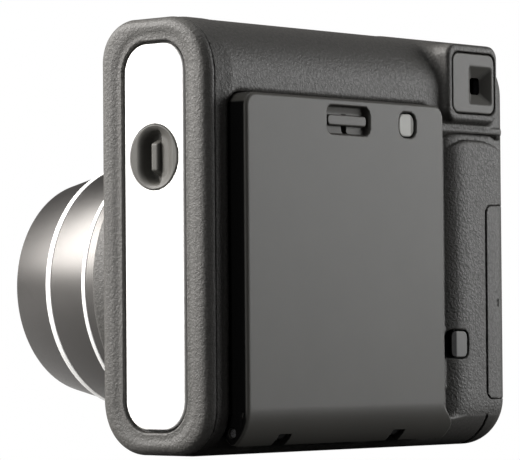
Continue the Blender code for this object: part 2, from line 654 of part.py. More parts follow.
def make_lens_barrels():
    pivot = (LENS_X, 0.0, LENS_Z)
    front = [(FRONT_RIM_R - 0.6, LENS_FRONT_Y), (FRONT_RIM_R, LENS_FRONT_Y + 0.6),
             (FRONT_TUBE_R, FRONT_TRIM_Y[0] - 0.4), (FRONT_TUBE_R, -24.0), (33.6, -24.0),
             (33.6, -36.0), (FRONT_RIM_R - 1.6, -50.6), (FRONT_RIM_R - 1.6, LENS_FRONT_Y)]
    add_part("front_barrel", turned(front, LENS_X, LENS_Z), "gunmetal", pivot, 30)

    trim = [(MID_BORE_R, FRONT_TRIM_Y[0]), (MID_FRONT_R - 0.2, FRONT_TRIM_Y[0]),
            (MID_FRONT_R, FRONT_TRIM_Y[0] + 0.3), (MID_FRONT_R, FRONT_TRIM_Y[1]),
            (MID_BORE_R, FRONT_TRIM_Y[1])]
    add_part("mid_barrel_trim", turned(trim, LENS_X, LENS_Z), "silver", pivot, 30)
    mid = [(MID_BORE_R, FRONT_TRIM_Y[1] + 0.2), (MID_FRONT_R, FRONT_TRIM_Y[1] + 0.2),
           (MID_REAR_R, RING_TRIM_Y[0]), (MID_REAR_R, -6.0), (MID_BORE_R, -6.0)]
    add_part("mid_barrel", turned(mid, LENS_X, LENS_Z), "gunmetal", pivot, 30)

    trim = [(RING_BORE_R, RING_TRIM_Y[0]), (RING_R - 0.3, RING_TRIM_Y[0]),
            (RING_R, RING_TRIM_Y[0] + 0.3), (RING_R, RING_TRIM_Y[1]), (RING_BORE_R, RING_TRIM_Y[1])]
    add_part("mode_ring_trim", turned(trim, LENS_X, LENS_Z), "silver", pivot, 30)
    ring = [(RING_BORE_R, RING_TRIM_Y[1] + 0.2), (RING_R, RING_TRIM_Y[1] + 0.2), (RING_R, 6.8),
            (RING_R + 1.2, 6.8), (RING_R + 1.2, 9.6), (RING_BORE_R, 9.6)]
    add_part("mode_ring", turned(ring, LENS_X, LENS_Z), "gunmetal", pivot, 30)


def make_optics():
    bezel = [(FRONT_RIM_R - 2.0, -50.3), (FRONT_RIM_R - 2.0, -49.2), (17.2, -49.2), (11.9, -44.6),
             (10.6, -44.6), (10.6, -46.0), (16.6, -50.3)]
    add_part("lens_bezel", turned(bezel, LENS_X, LENS_Z), "black", round_angle=30)
    mirror = disc(LENS_X - 16.6, LENS_Z + 15.4, 4.6, "Y", -51.3, -50.6, 24)
    add_part("selfie_mirror", mirror, "mirror", round_angle=40)
    glass = [(0.0, -47.0), (4.2, -46.7), (7.6, -45.8), (10.2, -44.5), (10.2, -43.8), (0.0, -43.4)]
    add_part("front_lens", turned(glass, LENS_X, LENS_Z, steps=32), "lens_glass", round_angle=40)
    housing = [(2.7, -37.6), (30.0, -37.6), (30.0, -43.2), (31.0, -43.2), (31.0, -36.4),
               (10.4, -36.4), (10.4, -29.0), (8.6, -29.0), (8.6, -36.4), (2.7, -36.4)]
    add_part("shutter_housing", turned(housing, LENS_X, LENS_Z, steps=36), "black", round_angle=30)
    glass = [(0.0, -34.6), (8.3, -33.6), (8.3, -32.2), (0.0, -30.8)]
    add_part("rear_lens", turned(glass, LENS_X, LENS_Z, steps=32), "glass", round_angle=40)


def make_shutter_blades():
    """Two leaves that swing apart from one side of the aperture."""
    for name, side, low in (("shutter_blade_upper", 1.0, -39.6), ("shutter_blade_lower", -1.0, -38.6)):
        pivot = (LENS_X - 13.0, LENS_Z + side * 3.0)
        leaf = (LENS_X, LENS_Z + side * 1.8)
        outline = link_outline(pivot, 2.4, leaf, 5.2)
        add_part(name, prism(outline, "Y", low, low + 0.5), "black", (pivot[0], low, pivot[1]), 40)


# ---------------------------------------------------------------- film chamber and transport

def make_chassis():
    outer_x = (-27.0, 57.5)
    inner_x = (-25.5, 56.0)
    chassis = add_part("chassis", block(outer_x, (25.2, 39.8), (3.6, 101.0)), "black")
    chamber = block(inner_x, (26.9, 50.0), (5.0, 99.6))
    boolean(chassis, "DIFFERENCE", add_cutter("chamber", chamber))
    gate = block(around(LENS_X, IMAGE_SIZE + 1.0), (20.0, 30.0), around(LENS_Z, IMAGE_SIZE + 1.0))
    boolean(chassis, "DIFFERENCE", add_cutter("film_gate", gate))
    slot = block(around(LENS_X, FILM_WIDTH + 3.0), around(FILM_Y, 3.4), (95.0, 105.0))
    boolean(chassis, "DIFFERENCE", add_cutter("film_slot", slot))
    heel = block((-30.0, 60.0), (35.6, 50.0), (-1.0, 6.4))
    boolean(chassis, "DIFFERENCE", add_cutter("hinge_clearance", heel))

    near = rectangle(*around(LENS_X, IMAGE_SIZE - 12.0), *around(LENS_Z, IMAGE_SIZE - 12.0))
    far = rectangle(*around(LENS_X, IMAGE_SIZE + 4.0), *around(LENS_Z, IMAGE_SIZE + 4.0))
    cone = add_part("light_cone", prism(near, "Y", 12.0, 24.9, far), "black")
    near = rectangle(*around(LENS_X, IMAGE_SIZE - 15.0), *around(LENS_Z, IMAGE_SIZE - 15.0))
    far = rectangle(*around(LENS_X, IMAGE_SIZE + 1.0), *around(LENS_Z, IMAGE_SIZE + 1.0))
    boolean(cone, "DIFFERENCE", add_cutter("cone_hollow", prism(near, "Y", 11.9, 25.0, far)))


def make_film_pack():
    pack = add_part("film_pack", block(PACK_X, PACK_Y, PACK_Z), "black")
    frame = block(around(LENS_X, IMAGE_SIZE + 2.0), (20.0, PACK_Y[0] + 1.2),
                  around(LENS_Z, IMAGE_SIZE + 2.0))
    boolean(pack, "DIFFERENCE", add_cutter("pack_window", frame))
    sheet = block(around(LENS_X, IMAGE_SIZE + 1.2), (PACK_Y[0] + 0.5, PACK_Y[0] + 0.9),
                  around(LENS_Z, IMAGE_SIZE + 1.2))
    add_part("film_sheet", sheet, "white")
    seal = block(around(LENS_X, FILM_WIDTH + 4.0), (31.9, 33.8), (113.2, 116.9))
    add_part("exit_light_seal", seal, "rubber")
    claw = prism(rectangle(28.2, 31.4, 14.0, 42.0), "X", -25.2, -24.55)
    add_part("pick_claw", claw, "steel", (-24.9, 29.8, 28.0))


def make_roller(name, y, tooth_phase):
    """Steel roller and journals in one turned piece, with its synchronising gear on one end."""
    half = FILM_WIDTH / 2.0 + 1.5
    low = LENS_X - half
    high = LENS_X + half
    tail = -30.1 if name == "front_roller" else -27.9
    profile = [(0.0, tail), (1.9, tail), (1.9, low), (ROLLER_R, low), (ROLLER_R, high),
               (1.9, high), (1.9, 59.8), (0.0, 59.8)]
    roller = turned(profile, y, ROLLER_Z, "X", 20)
    roller = add_part(name, roller, "steel", (LENS_X, y, ROLLER_Z), 40)
    teeth = prism(gear_outline(SYNC_TEETH, y, ROLLER_Z, tooth_phase), "X", 57.9, 59.9)
    boolean(roller, "UNION", add_cutter(name + "_teeth", teeth))


def make_transport():
    make_roller("front_roller", FRONT_ROLLER_Y, 0.0)
    make_roller("rear_roller", REAR_ROLLER_Y, math.pi + math.pi / SYNC_TEETH)
    for name, x in (("roller_bracket_right", (-26.6, -24.6)), ("roller_bracket_left", (55.0, 57.0))):
        plate = rounded_rect(18.6, 39.0, 101.3, 112.6, (0.5, 0.5, 3.0, 3.0), 3)
        bracket = add_part(name, prism(plate, "X", *x), "steel")
        for i, y in enumerate((FRONT_ROLLER_Y, REAR_ROLLER_Y)):
            bore = disc(y, ROLLER_Z, 2.25, "X", x[0] - 2.0, x[1] + 2.0, 16)
            boolean(bracket, "DIFFERENCE", add_cutter(f"{name}_bore_{i}", bore))
    make_drive_train()


def idler_centre():
    """Where the idler meshes with both the motor pinion and the roller's gear."""
    to_pinion = GEAR_MODULE * (PINION_TEETH + IDLER_TEETH) / 2.0
    to_drive = GEAR_MODULE * (DRIVE_TEETH + IDLER_TEETH) / 2.0
    dy = FRONT_ROLLER_Y - MOTOR_Y
    dz = ROLLER_Z - MOTOR_Z
    base = math.hypot(dy, dz)
    along = (base * base + to_pinion ** 2 - to_drive ** 2) / (2.0 * base)
    off = math.sqrt(to_pinion ** 2 - along ** 2)
    return (MOTOR_Y + (along * dy + off * dz) / base, MOTOR_Z + (along * dz - off * dy) / base)


def make_drive_train():
    idler = idler_centre()
    to_drive = math.atan2(ROLLER_Z - idler[1], FRONT_ROLLER_Y - idler[0])
    to_pinion = math.atan2(MOTOR_Z - idler[1], MOTOR_Y - idler[0])
    drive = gear_outline(DRIVE_TEETH, FRONT_ROLLER_Y, ROLLER_Z, to_drive + math.pi)
    add_part("roller_drive_gear", prism(drive, "X", *GEAR_X), "nylon",
             (GEAR_X[0], FRONT_ROLLER_Y, ROLLER_Z))
    idler_step = 2.0 * math.pi / IDLER_TEETH
    phase = to_drive + idler_step / 2.0
    add_part("idler_gear", prism(gear_outline(IDLER_TEETH, *idler, phase), "X", *GEAR_X), "nylon",
             (GEAR_X[0], *idler))
    offset = ((to_pinion - phase) / idler_step) % 1.0
    pinion_phase = to_pinion + math.pi + (offset + 0.5) * 2.0 * math.pi / PINION_TEETH
    pinion = prism(gear_outline(PINION_TEETH, MOTOR_Y, MOTOR_Z, pinion_phase), "X", *GEAR_X)
    add_part("motor_pinion", pinion, "steel", (GEAR_X[0], MOTOR_Y, MOTOR_Z))
    motor = turned([(0.0, -58.5), (2.2, -58.5), (2.2, -57.5), (6.9, -57.5), (6.9, -34.6), (2.2, -34.6),
                    (2.2, -33.6), (0.0, -33.6)], MOTOR_Y, MOTOR_Z, "X", 24)
    add_part("motor", motor, "steel", round_angle=40)


# ---------------------------------------------------------------- power and controls

def make_power():
    base = 15.2
    for i, name in enumerate(("battery_lower", "battery_upper")):
        z = base + i * (BATTERY_LENGTH + 0.5)
        cell = turned([(0.0, z), (BATTERY_R - 0.4, z), (BATTERY_R, z + 0.4),
                       (BATTERY_R, z + BATTERY_LENGTH - 1.6), (BATTERY_R - 0.8, z + BATTERY_LENGTH - 1.0),
                       (2.6, z + BATTERY_LENGTH - 1.0), (2.6, z + BATTERY_LENGTH),
                       (0.0, z + BATTERY_LENGTH)], BATTERY_X, BATTERY_Y, "Z", 20)
        add_part(name, cell, "cell", round_angle=40)
    holder = add_part("battery_holder", block((-62.6, -46.0), (15.6, 34.4), (13.6, 71.6)), "black")
    hollow = block((-70.0, -47.4), (16.8, 33.2), (15.0, 70.2))
    boolean(holder, "DIFFERENCE", add_cutter("battery_hollow", hollow))
    add_part("circuit_board", block((-57.0, -29.6), (5.0, 6.3), (14.0, 58.0)), "board")


def make_shutter_button():
    button = turned([(0.0, -1.5), (BUTTON_R - 1.2, -1.2), (BUTTON_R, -0.2), (BUTTON_R, 3.9),
                     (BUTTON_R + 1.0, 3.9), (BUTTON_R + 1.0, 4.9), (0.0, 4.9)], BUTTON_X, BUTTON_Z,
                    steps=32)
    add_part("shutter_button", button, "silver", (BUTTON_X, 0.0, BUTTON_Z), 40)
    spring = coil("Y", BUTTON_X, BUTTON_Z, 7.0, 14.0, 3.4, 0.35, 4, 8, 5)
    add_part("shutter_button_spring", spring, "steel", round_angle=60)


def main():
    clear_scene()
    cavity = add_cutter("body_cavity", body_hull(WALL))
    make_front_cover(cavity)
    make_rear_cover(cavity)
    make_end_caps()
    make_side_panel()
    make_strap_lug()
    make_film_door()
    make_hinge_pin()
    make_latch()
    make_pack_springs()
    make_battery_door(cavity)
    make_viewfinder()
    make_flash()
    make_sensor_windows()
    make_counter()
    make_lens_barrels()
    make_optics()
    make_shutter_blades()
    make_chassis()
    make_film_pack()
    make_transport()
    make_power()
    make_shutter_button()


main()
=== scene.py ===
"""Looks of the instant camera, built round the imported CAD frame.

The shells are drawn as signed distances and skinned with a surface net, which gives every seam
and hollow its own rounding. Turned pieces are spun from profiles. Lengths are millimetres in the
frame's axes (+Z up, lens along -Y, strap lug on +X) and become metres when a mesh is made.
"""
import math

import bmesh
import bpy
import numpy as np
from mathutils import Matrix, Vector


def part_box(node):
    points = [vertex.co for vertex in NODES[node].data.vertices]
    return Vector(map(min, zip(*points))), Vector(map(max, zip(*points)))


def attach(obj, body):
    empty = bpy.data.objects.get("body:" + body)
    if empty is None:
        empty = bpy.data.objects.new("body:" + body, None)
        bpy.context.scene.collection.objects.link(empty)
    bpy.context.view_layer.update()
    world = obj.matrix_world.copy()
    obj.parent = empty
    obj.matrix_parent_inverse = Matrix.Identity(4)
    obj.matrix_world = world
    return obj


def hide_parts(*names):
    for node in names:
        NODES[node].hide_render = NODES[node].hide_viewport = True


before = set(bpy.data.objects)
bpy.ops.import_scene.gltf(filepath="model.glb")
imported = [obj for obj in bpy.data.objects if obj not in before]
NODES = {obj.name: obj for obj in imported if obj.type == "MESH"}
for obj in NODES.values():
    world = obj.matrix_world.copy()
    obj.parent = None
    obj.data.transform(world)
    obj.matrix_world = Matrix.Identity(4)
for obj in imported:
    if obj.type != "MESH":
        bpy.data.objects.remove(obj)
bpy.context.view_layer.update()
MM = 0.001
DATUM = np.array((0.0, 1.28, 0.0))     # the outlines below are drawn from this far in front


def span(node):
    """Low and high corner of a CAD node, in millimetres from the datum."""
    low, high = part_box(node)
    return np.array(low) / MM - DATUM, np.array(high) / MM - DATUM


# ---------------- sizes

CAP_LO, BODY_HI = span("left_end_cap")
REAR_LO, REAR_HI = span("rear_cover")
DOOR_LO, DOOR_HI = span("film_door")
PANEL_LO, PANEL_HI = span("side_panel")
PLATE_LO, PLATE_HI = span("eyepiece_plate")
BATTERY_LO, BATTERY_HI = span("battery_door")
CUP_LO, CUP_HI = span("strap_lug_cup")
BAR_LO, BAR_HI = span("strap_lug_bar")
PILL_LO, PILL_HI = span("film_door_window")
BARREL_LO, BARREL_HI = span("front_barrel")
MID_LO, MID_HI = span("mid_barrel")
RING_LO, RING_HI = span("mode_ring")
MID_TRIM_LO, MID_TRIM_HI = span("mid_barrel_trim")
RING_TRIM_LO, RING_TRIM_HI = span("mode_ring_trim")
BUTTON_LO, BUTTON_HI = span("shutter_button")
COUNTER_LO, COUNTER_HI = span("counter_window")

HALF = BODY_HI[0]
HEIGHT = REAR_HI[2]
FRONT_Y = 1.8
BACK_Y = 44.5
CORNERS = (15.5, 14.0, 17.0, 12.5)     # front bottom, rear bottom, rear top, front top
LEFT_EDGE = 2.9
RIGHT_EDGE = 9.0
PANEL_R = 8.0
GAP = 0.3
WALL = 2.0
SEAM = 0.05                            # each shell stops this far short of its seam
COLUMN_TOP = 91.4
COLUMN_X = -47.0
COLUMN_R = 16.0
FOOT_TOP = 9.0
FOOT_SEAM_X = -54.7
BATTERY_EDGE = 2.6
SEAM_X = CAP_LO[0] - GAP / 2.0
SPLIT_Y = REAR_LO[1] - GAP / 2.0
LENS_X = (BARREL_LO[0] + BARREL_HI[0]) / 2.0
LENS_Z = (BARREL_LO[2] + BARREL_HI[2]) / 2.0
COLLAR_R = 41.5
COLLAR_BORE_R = 38.3
COLLAR_Y = span("front_cover")[0][1]
DOOR_BACK_Y = DOOR_HI[1]
DOOR_RIGHT = -27.56                    # door's grip-side edge above its flared foot
FLARE = DOOR_RIGHT - DOOR_LO[0]
FLARE_Z = (6.0, 13.0)
ROLL_R = 13.0
ROLL_Z = 13.4
HINGE_Y = 43.77
HINGE_Z = 6.47
HINGE_R = 3.2
HINGE_XS = (-9.0, 40.0)
EAR_HALF = 2.0
NOTCH_HALF = 2.5
NOTCH_R = 7.0
EAR_FOOT = (36.4, 3.4)
EAR_ALONG = (0.923, 0.385)
LATCH_X = (span("door_latch")[0][0] + span("door_latch")[1][0]) / 2.0
LATCH_Z = 93.2
POCKET_SIZE = (18.5, 8.0)
POCKET_FLOOR_Y = 47.75
FINDER_X = (PLATE_LO[0] + PLATE_HI[0]) / 2.0 - 3.2
FINDER_Z = (PLATE_LO[2] + PLATE_HI[2]) / 2.0 - 0.55
BUTTON_X = (BUTTON_LO[0] + BUTTON_HI[0]) / 2.0
BUTTON_Z = (BUTTON_LO[2] + BUTTON_HI[2]) / 2.0
BUTTON_R = (BUTTON_HI[0] - BUTTON_LO[0]) / 2.0 - 1.0
LUG_Y = (CUP_LO[1] + CUP_HI[1]) / 2.0
LUG_Z = (CUP_LO[2] + CUP_HI[2]) / 2.0
LUG_R = (CUP_HI[1] - CUP_LO[1]) / 2.0
FRONT_RIM_R = 31.35
MID_BORE_R = 35.3
RING_BORE_R = 37.1
# node, corner radius of its hole in the front cover, slot
FRONT_WINDOWS = (("flash_window", 2.0, "clear_window"), ("finder_window", 2.0, "clear_window"),
                 ("flash_sensor_window", 1.5, "smoked_window"),
                 ("light_meter_window", 1.5, "smoked_window"))


# ---------------- signed distances

def rounded(a, b, radius):
    """Corner of two distances that were both grown by a radius, rounded to that radius."""
    outside = np.hypot(np.maximum(a, 0.0), np.maximum(b, 0.0))
    return outside + np.minimum(np.maximum(a, b), 0.0) - radius


def rect2(u, v, low, high, radii):
    """Distance to a rounded rectangle; radii go round from (low u, low v), (high u, low v) next."""
    if not isinstance(radii, tuple):
        radii = (radii,) * 4
    cu = (low[0] + high[0]) / 2.0
    cv = (low[1] + high[1]) / 2.0
    r = np.where(u > cu, np.where(v > cv, radii[2], radii[1]), np.where(v > cv, radii[3], radii[0]))
    a = np.abs(u - cu) - (high[0] - low[0]) / 2.0 + r
    b = np.abs(v - cv) - (high[1] - low[1]) / 2.0 + r
    return rounded(a, b, r)


def slab(w, low, high):
    return np.abs(w - (low + high) / 2.0) - (high - low) / 2.0


def meet(a, b, radius):
    """Intersection whose edge is rounded to a radius."""
    reach = np.hypot(np.maximum(a + radius, 0.0), np.maximum(b + radius, 0.0))
    return np.minimum(np.maximum(a, b), -radius) + reach


def join(a, b, radius):
    """Union whose inner corner has a fillet of a radius."""
    return -meet(-a, -b, radius)


def cut(a, b, radius):
    """a with b taken away, its edge rounded to a radius."""
    return meet(a, -b, radius)


def box3(x, y, z, low, high, radius):
    q = [slab(w, low[i], high[i]) + radius for i, w in enumerate((x, y, z))]
    outside = np.sqrt(sum(np.maximum(c, 0.0) ** 2 for c in q))
    return outside + np.minimum(np.maximum(np.maximum(q[0], q[1]), q[2]), 0.0) - radius


def smoothstep(t, low, high):
    t = np.clip((t - low) / (high - low), 0.0, 1.0)
    return t * t * (3.0 - 2.0 * t)


# ---------------- mesh makers

def surface_net(field, low, high, pitch):
    """Quads over the zero level of field(x, y, z), with one vertex in each cell that it crosses."""
    axes = [np.arange(low[i], high[i] + pitch, pitch) for i in range(3)]
    grids = (axes[0][:, None, None], axes[1][None, :, None], axes[2][None, None, :])
    values = np.ascontiguousarray(np.broadcast_to(field(*grids), [len(a) for a in axes]))
    cells = np.array(values.shape) - 1
    keys, places, edges = [], [], []
    for axis in range(3):
        first = [slice(None)] * 3
        second = [slice(None)] * 3
        first[axis] = slice(None, -1)
        second[axis] = slice(1, None)
        a = values[tuple(first)]
        b = values[tuple(second)]
        at = np.argwhere((a < 0.0) != (b < 0.0))
        fa = a[tuple(at.T)]
        fb = b[tuple(at.T)]
        spot = at.astype(float)
        spot[:, axis] += fa / (fa - fb)
        u, v = (axis + 1) % 3, (axis + 2) % 3
        ring = []
        for du, dv in ((0, 0), (1, 0), (1, 1), (0, 1)):
            cell = at.copy()
            cell[:, u] -= du
            cell[:, v] -= dv
            inside = np.all((cell >= 0) & (cell < cells), axis=1)
            key = np.where(inside, np.ravel_multi_index(np.clip(cell, 0, cells - 1).T, cells), -1)
            ring.append(key)
            keys.append(key[inside])
            places.append(spot[inside])
        ring = np.stack(ring, axis=1)
        ring[fa > 0.0] = ring[fa > 0.0][:, ::-1]
        edges.append(ring[np.all(ring >= 0, axis=1)])
    keys = np.concatenate(keys)
    places = np.concatenate(places)
    unique, index = np.unique(keys, return_inverse=True)
    count = np.bincount(index)
    points = np.stack([np.bincount(index, places[:, i]) / count for i in range(3)], axis=1)
    quads = np.searchsorted(unique, np.concatenate(edges))
    return points * pitch + np.array(low), quads


def gradient(field, points, step=0.03):
    slope = np.empty_like(points)
    for i in range(3):
        shift = np.zeros(3)
        shift[i] = step
        ahead = field(*(points + shift).T)
        behind = field(*(points - shift).T)
        slope[:, i] = (ahead - behind) / (2.0 * step)
    return slope


def settle(field, points, pitch, rounds=3):
    """Points moved on to the zero level, and the surface's normals there."""
    for _ in range(rounds):
        slope = gradient(field, points)
        size = np.maximum((slope ** 2).sum(axis=1), 0.05)
        step = field(*points.T) / size
        step = np.clip(step, -pitch / 2.0, pitch / 2.0)
        points = points - slope * step[:, None]
    slope = gradient(field, points)
    return points, slope / np.maximum(np.linalg.norm(slope, axis=1), 1e-6)[:, None]


def new_piece(name, points, faces, body, material, replaces=(), normals=None):
    """Mesh object in metres from points in millimetres; faces is an array or a list."""
    mesh = bpy.data.meshes.new(name)
    places = (np.asarray(points) + DATUM) * MM
    if isinstance(faces, np.ndarray):
        sides = faces.shape[1]
        mesh.vertices.add(len(places))
        mesh.vertices.foreach_set("co", places.astype(np.float32).ravel())
        mesh.loops.add(faces.size)
        mesh.loops.foreach_set("vertex_index", faces.astype(np.int32).ravel())
        mesh.polygons.add(len(faces))
        mesh.polygons.foreach_set("loop_start", np.arange(0, faces.size, sides, dtype=np.int32))
        mesh.update(calc_edges=True)
    else:
        mesh.from_pydata(places.tolist(), [], faces)
        mesh.update()
    mesh.validate()
    mesh.shade_smooth()
    if normals is not None:
        mesh.normals_split_custom_set_from_vertices(normals)
    obj = bpy.data.objects.new(name, mesh)
    bpy.context.scene.collection.objects.link(obj)
    mesh.materials.append(material)
    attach(obj, body)
    if replaces:
        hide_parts(*replaces)
    return obj


def shell(name, field, low, high, pitch, body, slot, material, replaces=()):
    """Piece skinned over a distance field, with a net of the given pitch in millimetres."""
    margin = 1.3 * pitch
    low = np.asarray(low, float) - margin
    high = np.asarray(high, float) + margin
    points, quads = surface_net(field, low, high, pitch)
    points, normals = settle(field, points, pitch)
    return new_piece(name, points, quads, body, material, replaces, normals)


def fillet_profile(corners, steps=5):
    """Closed profile whose corners (radius, along, rounding) are replaced by arcs."""
    count = len(corners)
    out = []
    for i, (r, w, rounding) in enumerate(corners):
        here = np.array((r, w), float)
        if rounding <= 0.0:
            out.append(tuple(here))
            continue
        before = np.array(corners[i - 1][:2], float) - here
        after = np.array(corners[(i + 1) % count][:2], float) - here
        reach_a = np.linalg.norm(before)
        reach_b = np.linalg.norm(after)
        before /= reach_a
        after /= reach_b
        half = math.acos(np.clip(before @ after, -1.0, 1.0)) / 2.0
        back = min(rounding / math.tan(half), reach_a * 0.49, reach_b * 0.49)
        radius = back * math.tan(half)
        middle = before + after
        middle /= np.linalg.norm(middle)
        centre = here + middle * radius / math.sin(half)
        start = here + before * back - centre
        end = here + after * back - centre
        turn = math.atan2(start[0] * end[1] - start[1] * end[0], start @ end)
        for k in range(steps + 1):
            a = turn * k / steps
            out.append((centre[0] + start[0] * math.cos(a) - start[1] * math.sin(a),
                        centre[1] + start[0] * math.sin(a) + start[1] * math.cos(a)))
    return out


def lathe(name, corners, centre, axis, body, material, replaces=(), steps=128, angle=35.0):
    """Closed profile of (radius, along, rounding) corners spun round an axis through centre."""
    profile = fillet_profile(corners)
    u, v = {"X": (1, 2), "Y": (0, 2), "Z": (0, 1)}[axis]
    w = "XYZ".index(axis)
    points, rings = [], []
    for r, along in profile:
        ring = []
        for k in range(steps if r > 1e-6 else 1):
            a = 2.0 * math.pi * k / steps
            p = [0.0, 0.0, 0.0]
            p[u] = centre[0] + r * math.cos(a)
            p[v] = centre[1] + r * math.sin(a)
            p[w] = along
            ring.append(len(points))
            points.append(p)
        rings.append(ring)
    faces = []
    pairs = list(zip(rings, rings[1:]))
    if len(rings[0]) > 1 or len(rings[-1]) > 1:
        pairs.append((rings[-1], rings[0]))
    for low, high in pairs:
        if len(low) == 1 and len(high) == 1:
            continue
        for k in range(steps):
            j = (k + 1) % steps
            face = [low[k % len(low)], low[j % len(low)], high[j % len(high)], high[k % len(high)]]
            faces.append(list(dict.fromkeys(face)))
    obj = new_piece(name, points, faces, body, material, replaces)
    orient(obj, angle)
    return obj


def orient(obj, angle):
    """Normals outward and edges sharper than angle marked."""
    bm = bmesh.new()
    bm.from_mesh(obj.data)
    bmesh.ops.recalc_face_normals(bm, faces=bm.faces)
    bm.to_mesh(obj.data)
    bm.free()
    obj.data.set_sharp_from_angle(angle=math.radians(angle))


# ---------------- materials

def shader_of(mat):
    return mat.node_tree.nodes["Principled BSDF"]


def new_material(name, color, roughness, metallic=0.0, **sockets):
    mat = bpy.data.materials.new(name)
    mat.use_nodes = True
    shader = shader_of(mat)
    shader.inputs["Base Color"].default_value = (*color, 1.0)
    shader.inputs["Roughness"].default_value = roughness
    shader.inputs["Metallic"].default_value = metallic
    for socket, value in sockets.items():
        shader.inputs[socket.replace("_", " ")].default_value = value
    return mat


def add_node(mat, kind, **settings):
    node = mat.node_tree.nodes.new(kind)
    for key, value in settings.items():
        if key in node.inputs:
            node.inputs[key].default_value = value
        else:
            setattr(node, key, value)
    return node


def wire(mat, source, target):
    mat.node_tree.links.new(source, target)


def coordinates(mat, stretch=(1.0, 1.0, 1.0)):
    """Object coordinates in millimetres."""
    where = add_node(mat, "ShaderNodeTexCoord")
    scale = add_node(mat, "ShaderNodeVectorMath", operation="MULTIPLY")
    scale.inputs[1].default_value = [s / MM for s in stretch]
    wire(mat, where.outputs["Object"], scale.inputs[0])
    return scale.outputs[0]


def noise(mat, place, scale, detail=4.0, roughness=0.55):
    node = add_node(mat, "ShaderNodeTexNoise", Scale=scale, Detail=detail, Roughness=roughness)
    wire(mat, place, node.inputs["Vector"])
    return node.outputs["Fac"]


def remap(mat, value, low, high, to_low, to_high):
    node = add_node(mat, "ShaderNodeMapRange")
    limits = {"From Min": low, "From Max": high, "To Min": to_low, "To Max": to_high}
    for socket, number in limits.items():
        node.inputs[socket].default_value = number
    wire(mat, value, node.inputs["Value"])
    return node.outputs["Result"]


def math_node(mat, operation, a, b):
    node = add_node(mat, "ShaderNodeMath", operation=operation)
    for i, value in enumerate((a, b)):
        if isinstance(value, (int, float)):
            node.inputs[i].default_value = value
        else:
            wire(mat, value, node.inputs[i])
    return node.outputs[0]


def split(mat, place):
    """X, Y and Z of a place."""
    node = add_node(mat, "ShaderNodeSeparateXYZ")
    wire(mat, place, node.inputs[0])
    return node.outputs


def vary_roughness(mat, place, low, high):
    wire(mat, remap(mat, noise(mat, place, 1.0), 0.3, 0.7, low, high),
         shader_of(mat).inputs["Roughness"])


def tint(mat, factor, dark, light):
    """Base colour between two colours by a factor."""
    node = add_node(mat, "ShaderNodeMix", data_type="RGBA")
    wire(mat, factor, node.inputs["Factor"])
    node.inputs[6].default_value = (*dark, 1.0)
    node.inputs[7].default_value = (*light, 1.0)
    wire(mat, node.outputs[2], shader_of(mat).inputs["Base Color"])
    return node.outputs[2]


def bump(mat, height, distance_mm, strength=1.0, after=None):
    node = add_node(mat, "ShaderNodeBump", Strength=strength, Distance=distance_mm * MM)
    wire(mat, height, node.inputs["Height"])
    if after is not None:
        wire(mat, after, node.inputs["Normal"])
    wire(mat, node.outputs["Normal"], shader_of(mat).inputs["Normal"])
    return node.outputs["Normal"]


def scaled(color, factor):
    return tuple(c * factor for c in color)


def make_leather(name, depth):
    """Moulded leather grain of fine creased cells, nearly smooth below the grip's crease."""
    base = (0.052, 0.050, 0.046)
    mat = new_material(name, base, 0.56)
    place = coordinates(mat)
    warp = add_node(mat, "ShaderNodeTexNoise", Scale=0.55, Detail=3.0)
    wire(mat, place, warp.inputs["Vector"])
    bend = add_node(mat, "ShaderNodeVectorMath", operation="MULTIPLY_ADD")
    bend.inputs[1].default_value = (1.6, 1.6, 1.6)
    wire(mat, warp.outputs["Color"], bend.inputs[0])
    wire(mat, place, bend.inputs[2])
    cells = add_node(mat, "ShaderNodeTexVoronoi", feature="SMOOTH_F1", Scale=1.15, Smoothness=0.35)
    wire(mat, bend.outputs[0], cells.inputs["Vector"])
    small = add_node(mat, "ShaderNodeTexVoronoi", feature="SMOOTH_F1", Scale=2.4, Smoothness=0.4)
    wire(mat, bend.outputs[0], small.inputs["Vector"])
    pebble = math_node(mat, "ADD", cells.outputs["Distance"],
                       math_node(mat, "MULTIPLY", small.outputs["Distance"], 0.5))
    fine = noise(mat, place, 5.0, 3.0)
    height = math_node(mat, "ADD", math_node(mat, "MULTIPLY", pebble, -1.0),
                       math_node(mat, "MULTIPLY", fine, 0.35))
    axes = split(mat, place)
    above = remap(mat, axes["Z"], 8.5, 9.2, 0.0, 1.0)
    left = remap(mat, axes["X"], -28.0, -27.0, 0.0, 1.0)
    grained = math_node(mat, "MAXIMUM", math_node(mat, "MAXIMUM", above, left), 0.12)
    bump(mat, math_node(mat, "MULTIPLY", height, grained), depth, 1.0)
    shade = remap(mat, pebble, 0.3, 1.1, 1.0, 0.0)
    tint(mat, shade, scaled(base, 0.80), scaled(base, 1.12))
    wire(mat, remap(mat, pebble, 0.3, 1.1, 0.52, 0.64), shader_of(mat).inputs["Roughness"])
    return mat


def make_satin(name, base, roughness, grain=0.02, scale=4.0, spread=0.06, **sockets):
    """Moulded plastic with a fine spark-eroded texture and slight random blotches of lighter and darker
    tone.
    """
    mat = new_material(name, base, roughness, **sockets)
    place = coordinates(mat)
    fine = noise(mat, place, scale, 3.0, 0.6)
    bump(mat, fine, grain)
    broad = noise(mat, place, 0.045, 3.0)
    blotches = remap(mat, broad, 0.3, 0.7, 0.0, 1.0)
    tint(mat, blotches, scaled(base, 1.0 - spread), scaled(base, 1.0 + spread))
    wire(mat, remap(mat, fine, 0.3, 0.7, roughness - 0.04, roughness + 0.05),
         shader_of(mat).inputs["Roughness"])
    return mat


